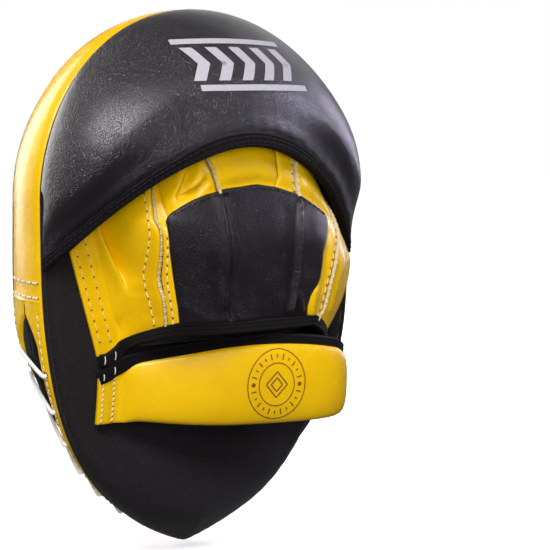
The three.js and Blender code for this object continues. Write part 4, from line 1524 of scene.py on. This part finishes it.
def stamp():
    """A generic round mark: two rings, ticks between them, two dots and a diamond."""
    centre_run = float(np.interp(17.5, arch_line[:, 0], arch_run))
    centre_s = -89.4

    parts = []

    def line(along, up, wide, closed=False, high=0.16):
        """A raised line through places beside and above the mark's centre."""
        path, higher = (strap_surface(centre_run + along, centre_s + up, lift) for lift in (PRINT_LIFT, 2))
        parts.append(swept(path, unit(higher - path), ring_profile(wide, high, 6), closed))

    def ring(radius, wide, count, beside=0.0, high=0.16):
        turn = circle(count)
        line(beside + radius * np.cos(turn), radius * np.sin(turn), wide, True, high)

    ring(15.2, 0.28, 120)
    ring(9.3, 0.26, 120)
    for k in range(24):
        if k % 12 == 0:
            continue
        radii = np.linspace(11.0, 13.5, 4) if k % 2 else np.linspace(11.6, 12.9, 4)
        angle = k * math.pi / 12
        line(radii * np.cos(angle), radii * np.sin(angle), 0.34)
    for side in (-1, 1):
        ring(0.55, 0.5, 16, side * 12.2, 0.14)
    for size in (5.6, 3.0):
        corners = np.array([(size, 0), (0, size), (-size, 0), (0, -size), (size, 0)], float)
        line(*resampled(corners, 0.5).T, 0.34)
    points, faces = joined(parts)
    return make("strap_print", points, faces, [STAMP])


rides(stamp(), "wrist_strap")


def closure():
    """The webbing tab that goes down to the tapes beside the wrist."""
    line = resampled(spline([(65.2, 16.4), (66, 9.5), (69.5, 6), (76, 5.6), (82, 5.6)], 16), 0.6)
    ahead = unit(np.gradient(line, axis=0))
    low, high, hem = -102, -78, 2.2

    def place(s, out):
        return bend(line[:, :1] - ahead[:, 1:] * out, s, -(line[:, 1:] + ahead[:, :1] * out))

    s = lerp(low, high, steps(30, high - low, 1.5))[None]
    tab = solid("closure_tab_webbing", tucked(place(s, 0), 1.0, 0.5, "vV"), place(s, -1.9), TAPE)
    stands(tab, "closure_tab", body="wrist_strap")
    rows = []
    for s in (low + hem, high - hem):
        path, higher = (place(s, out)[4:, 0] for out in (0, 2))
        rows.append((path, unit(higher - path)))
    threads = stitched("closure_tab_stitches", rows, BLACK_THREAD, 3.0, 0.8, 0.32, holes=False)
    rides(threads, "wrist_strap")


closure()

for node, finish in (("loop_tape", LOOPS), ("hook_tape", HOOKS)):
    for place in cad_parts[node].material_slots:
        place.material = finish

# ---- floor ------------------------------------------------------------------------------------------

FLOOR_RADIUS, FLOOR_SIDES, FLOOR_DROP = 4, 64, 0.004
floor_height = cad_box[0].z - FLOOR_DROP
floor_mesh = bpy.data.meshes.new("floor")
turns = [2 * math.pi * k / FLOOR_SIDES for k in range(FLOOR_SIDES)]
rim = [(FLOOR_RADIUS * math.cos(t), FLOOR_RADIUS * math.sin(t), floor_height) for t in turns]
floor_mesh.from_pydata(rim, [], [list(range(FLOOR_SIDES))])
floor_mesh.materials.append(floor_finish())
floor = bpy.data.objects.new("floor", floor_mesh)
bpy.context.scene.collection.objects.link(floor)
floor.visible_glossy = False
floor.visible_diffuse = False
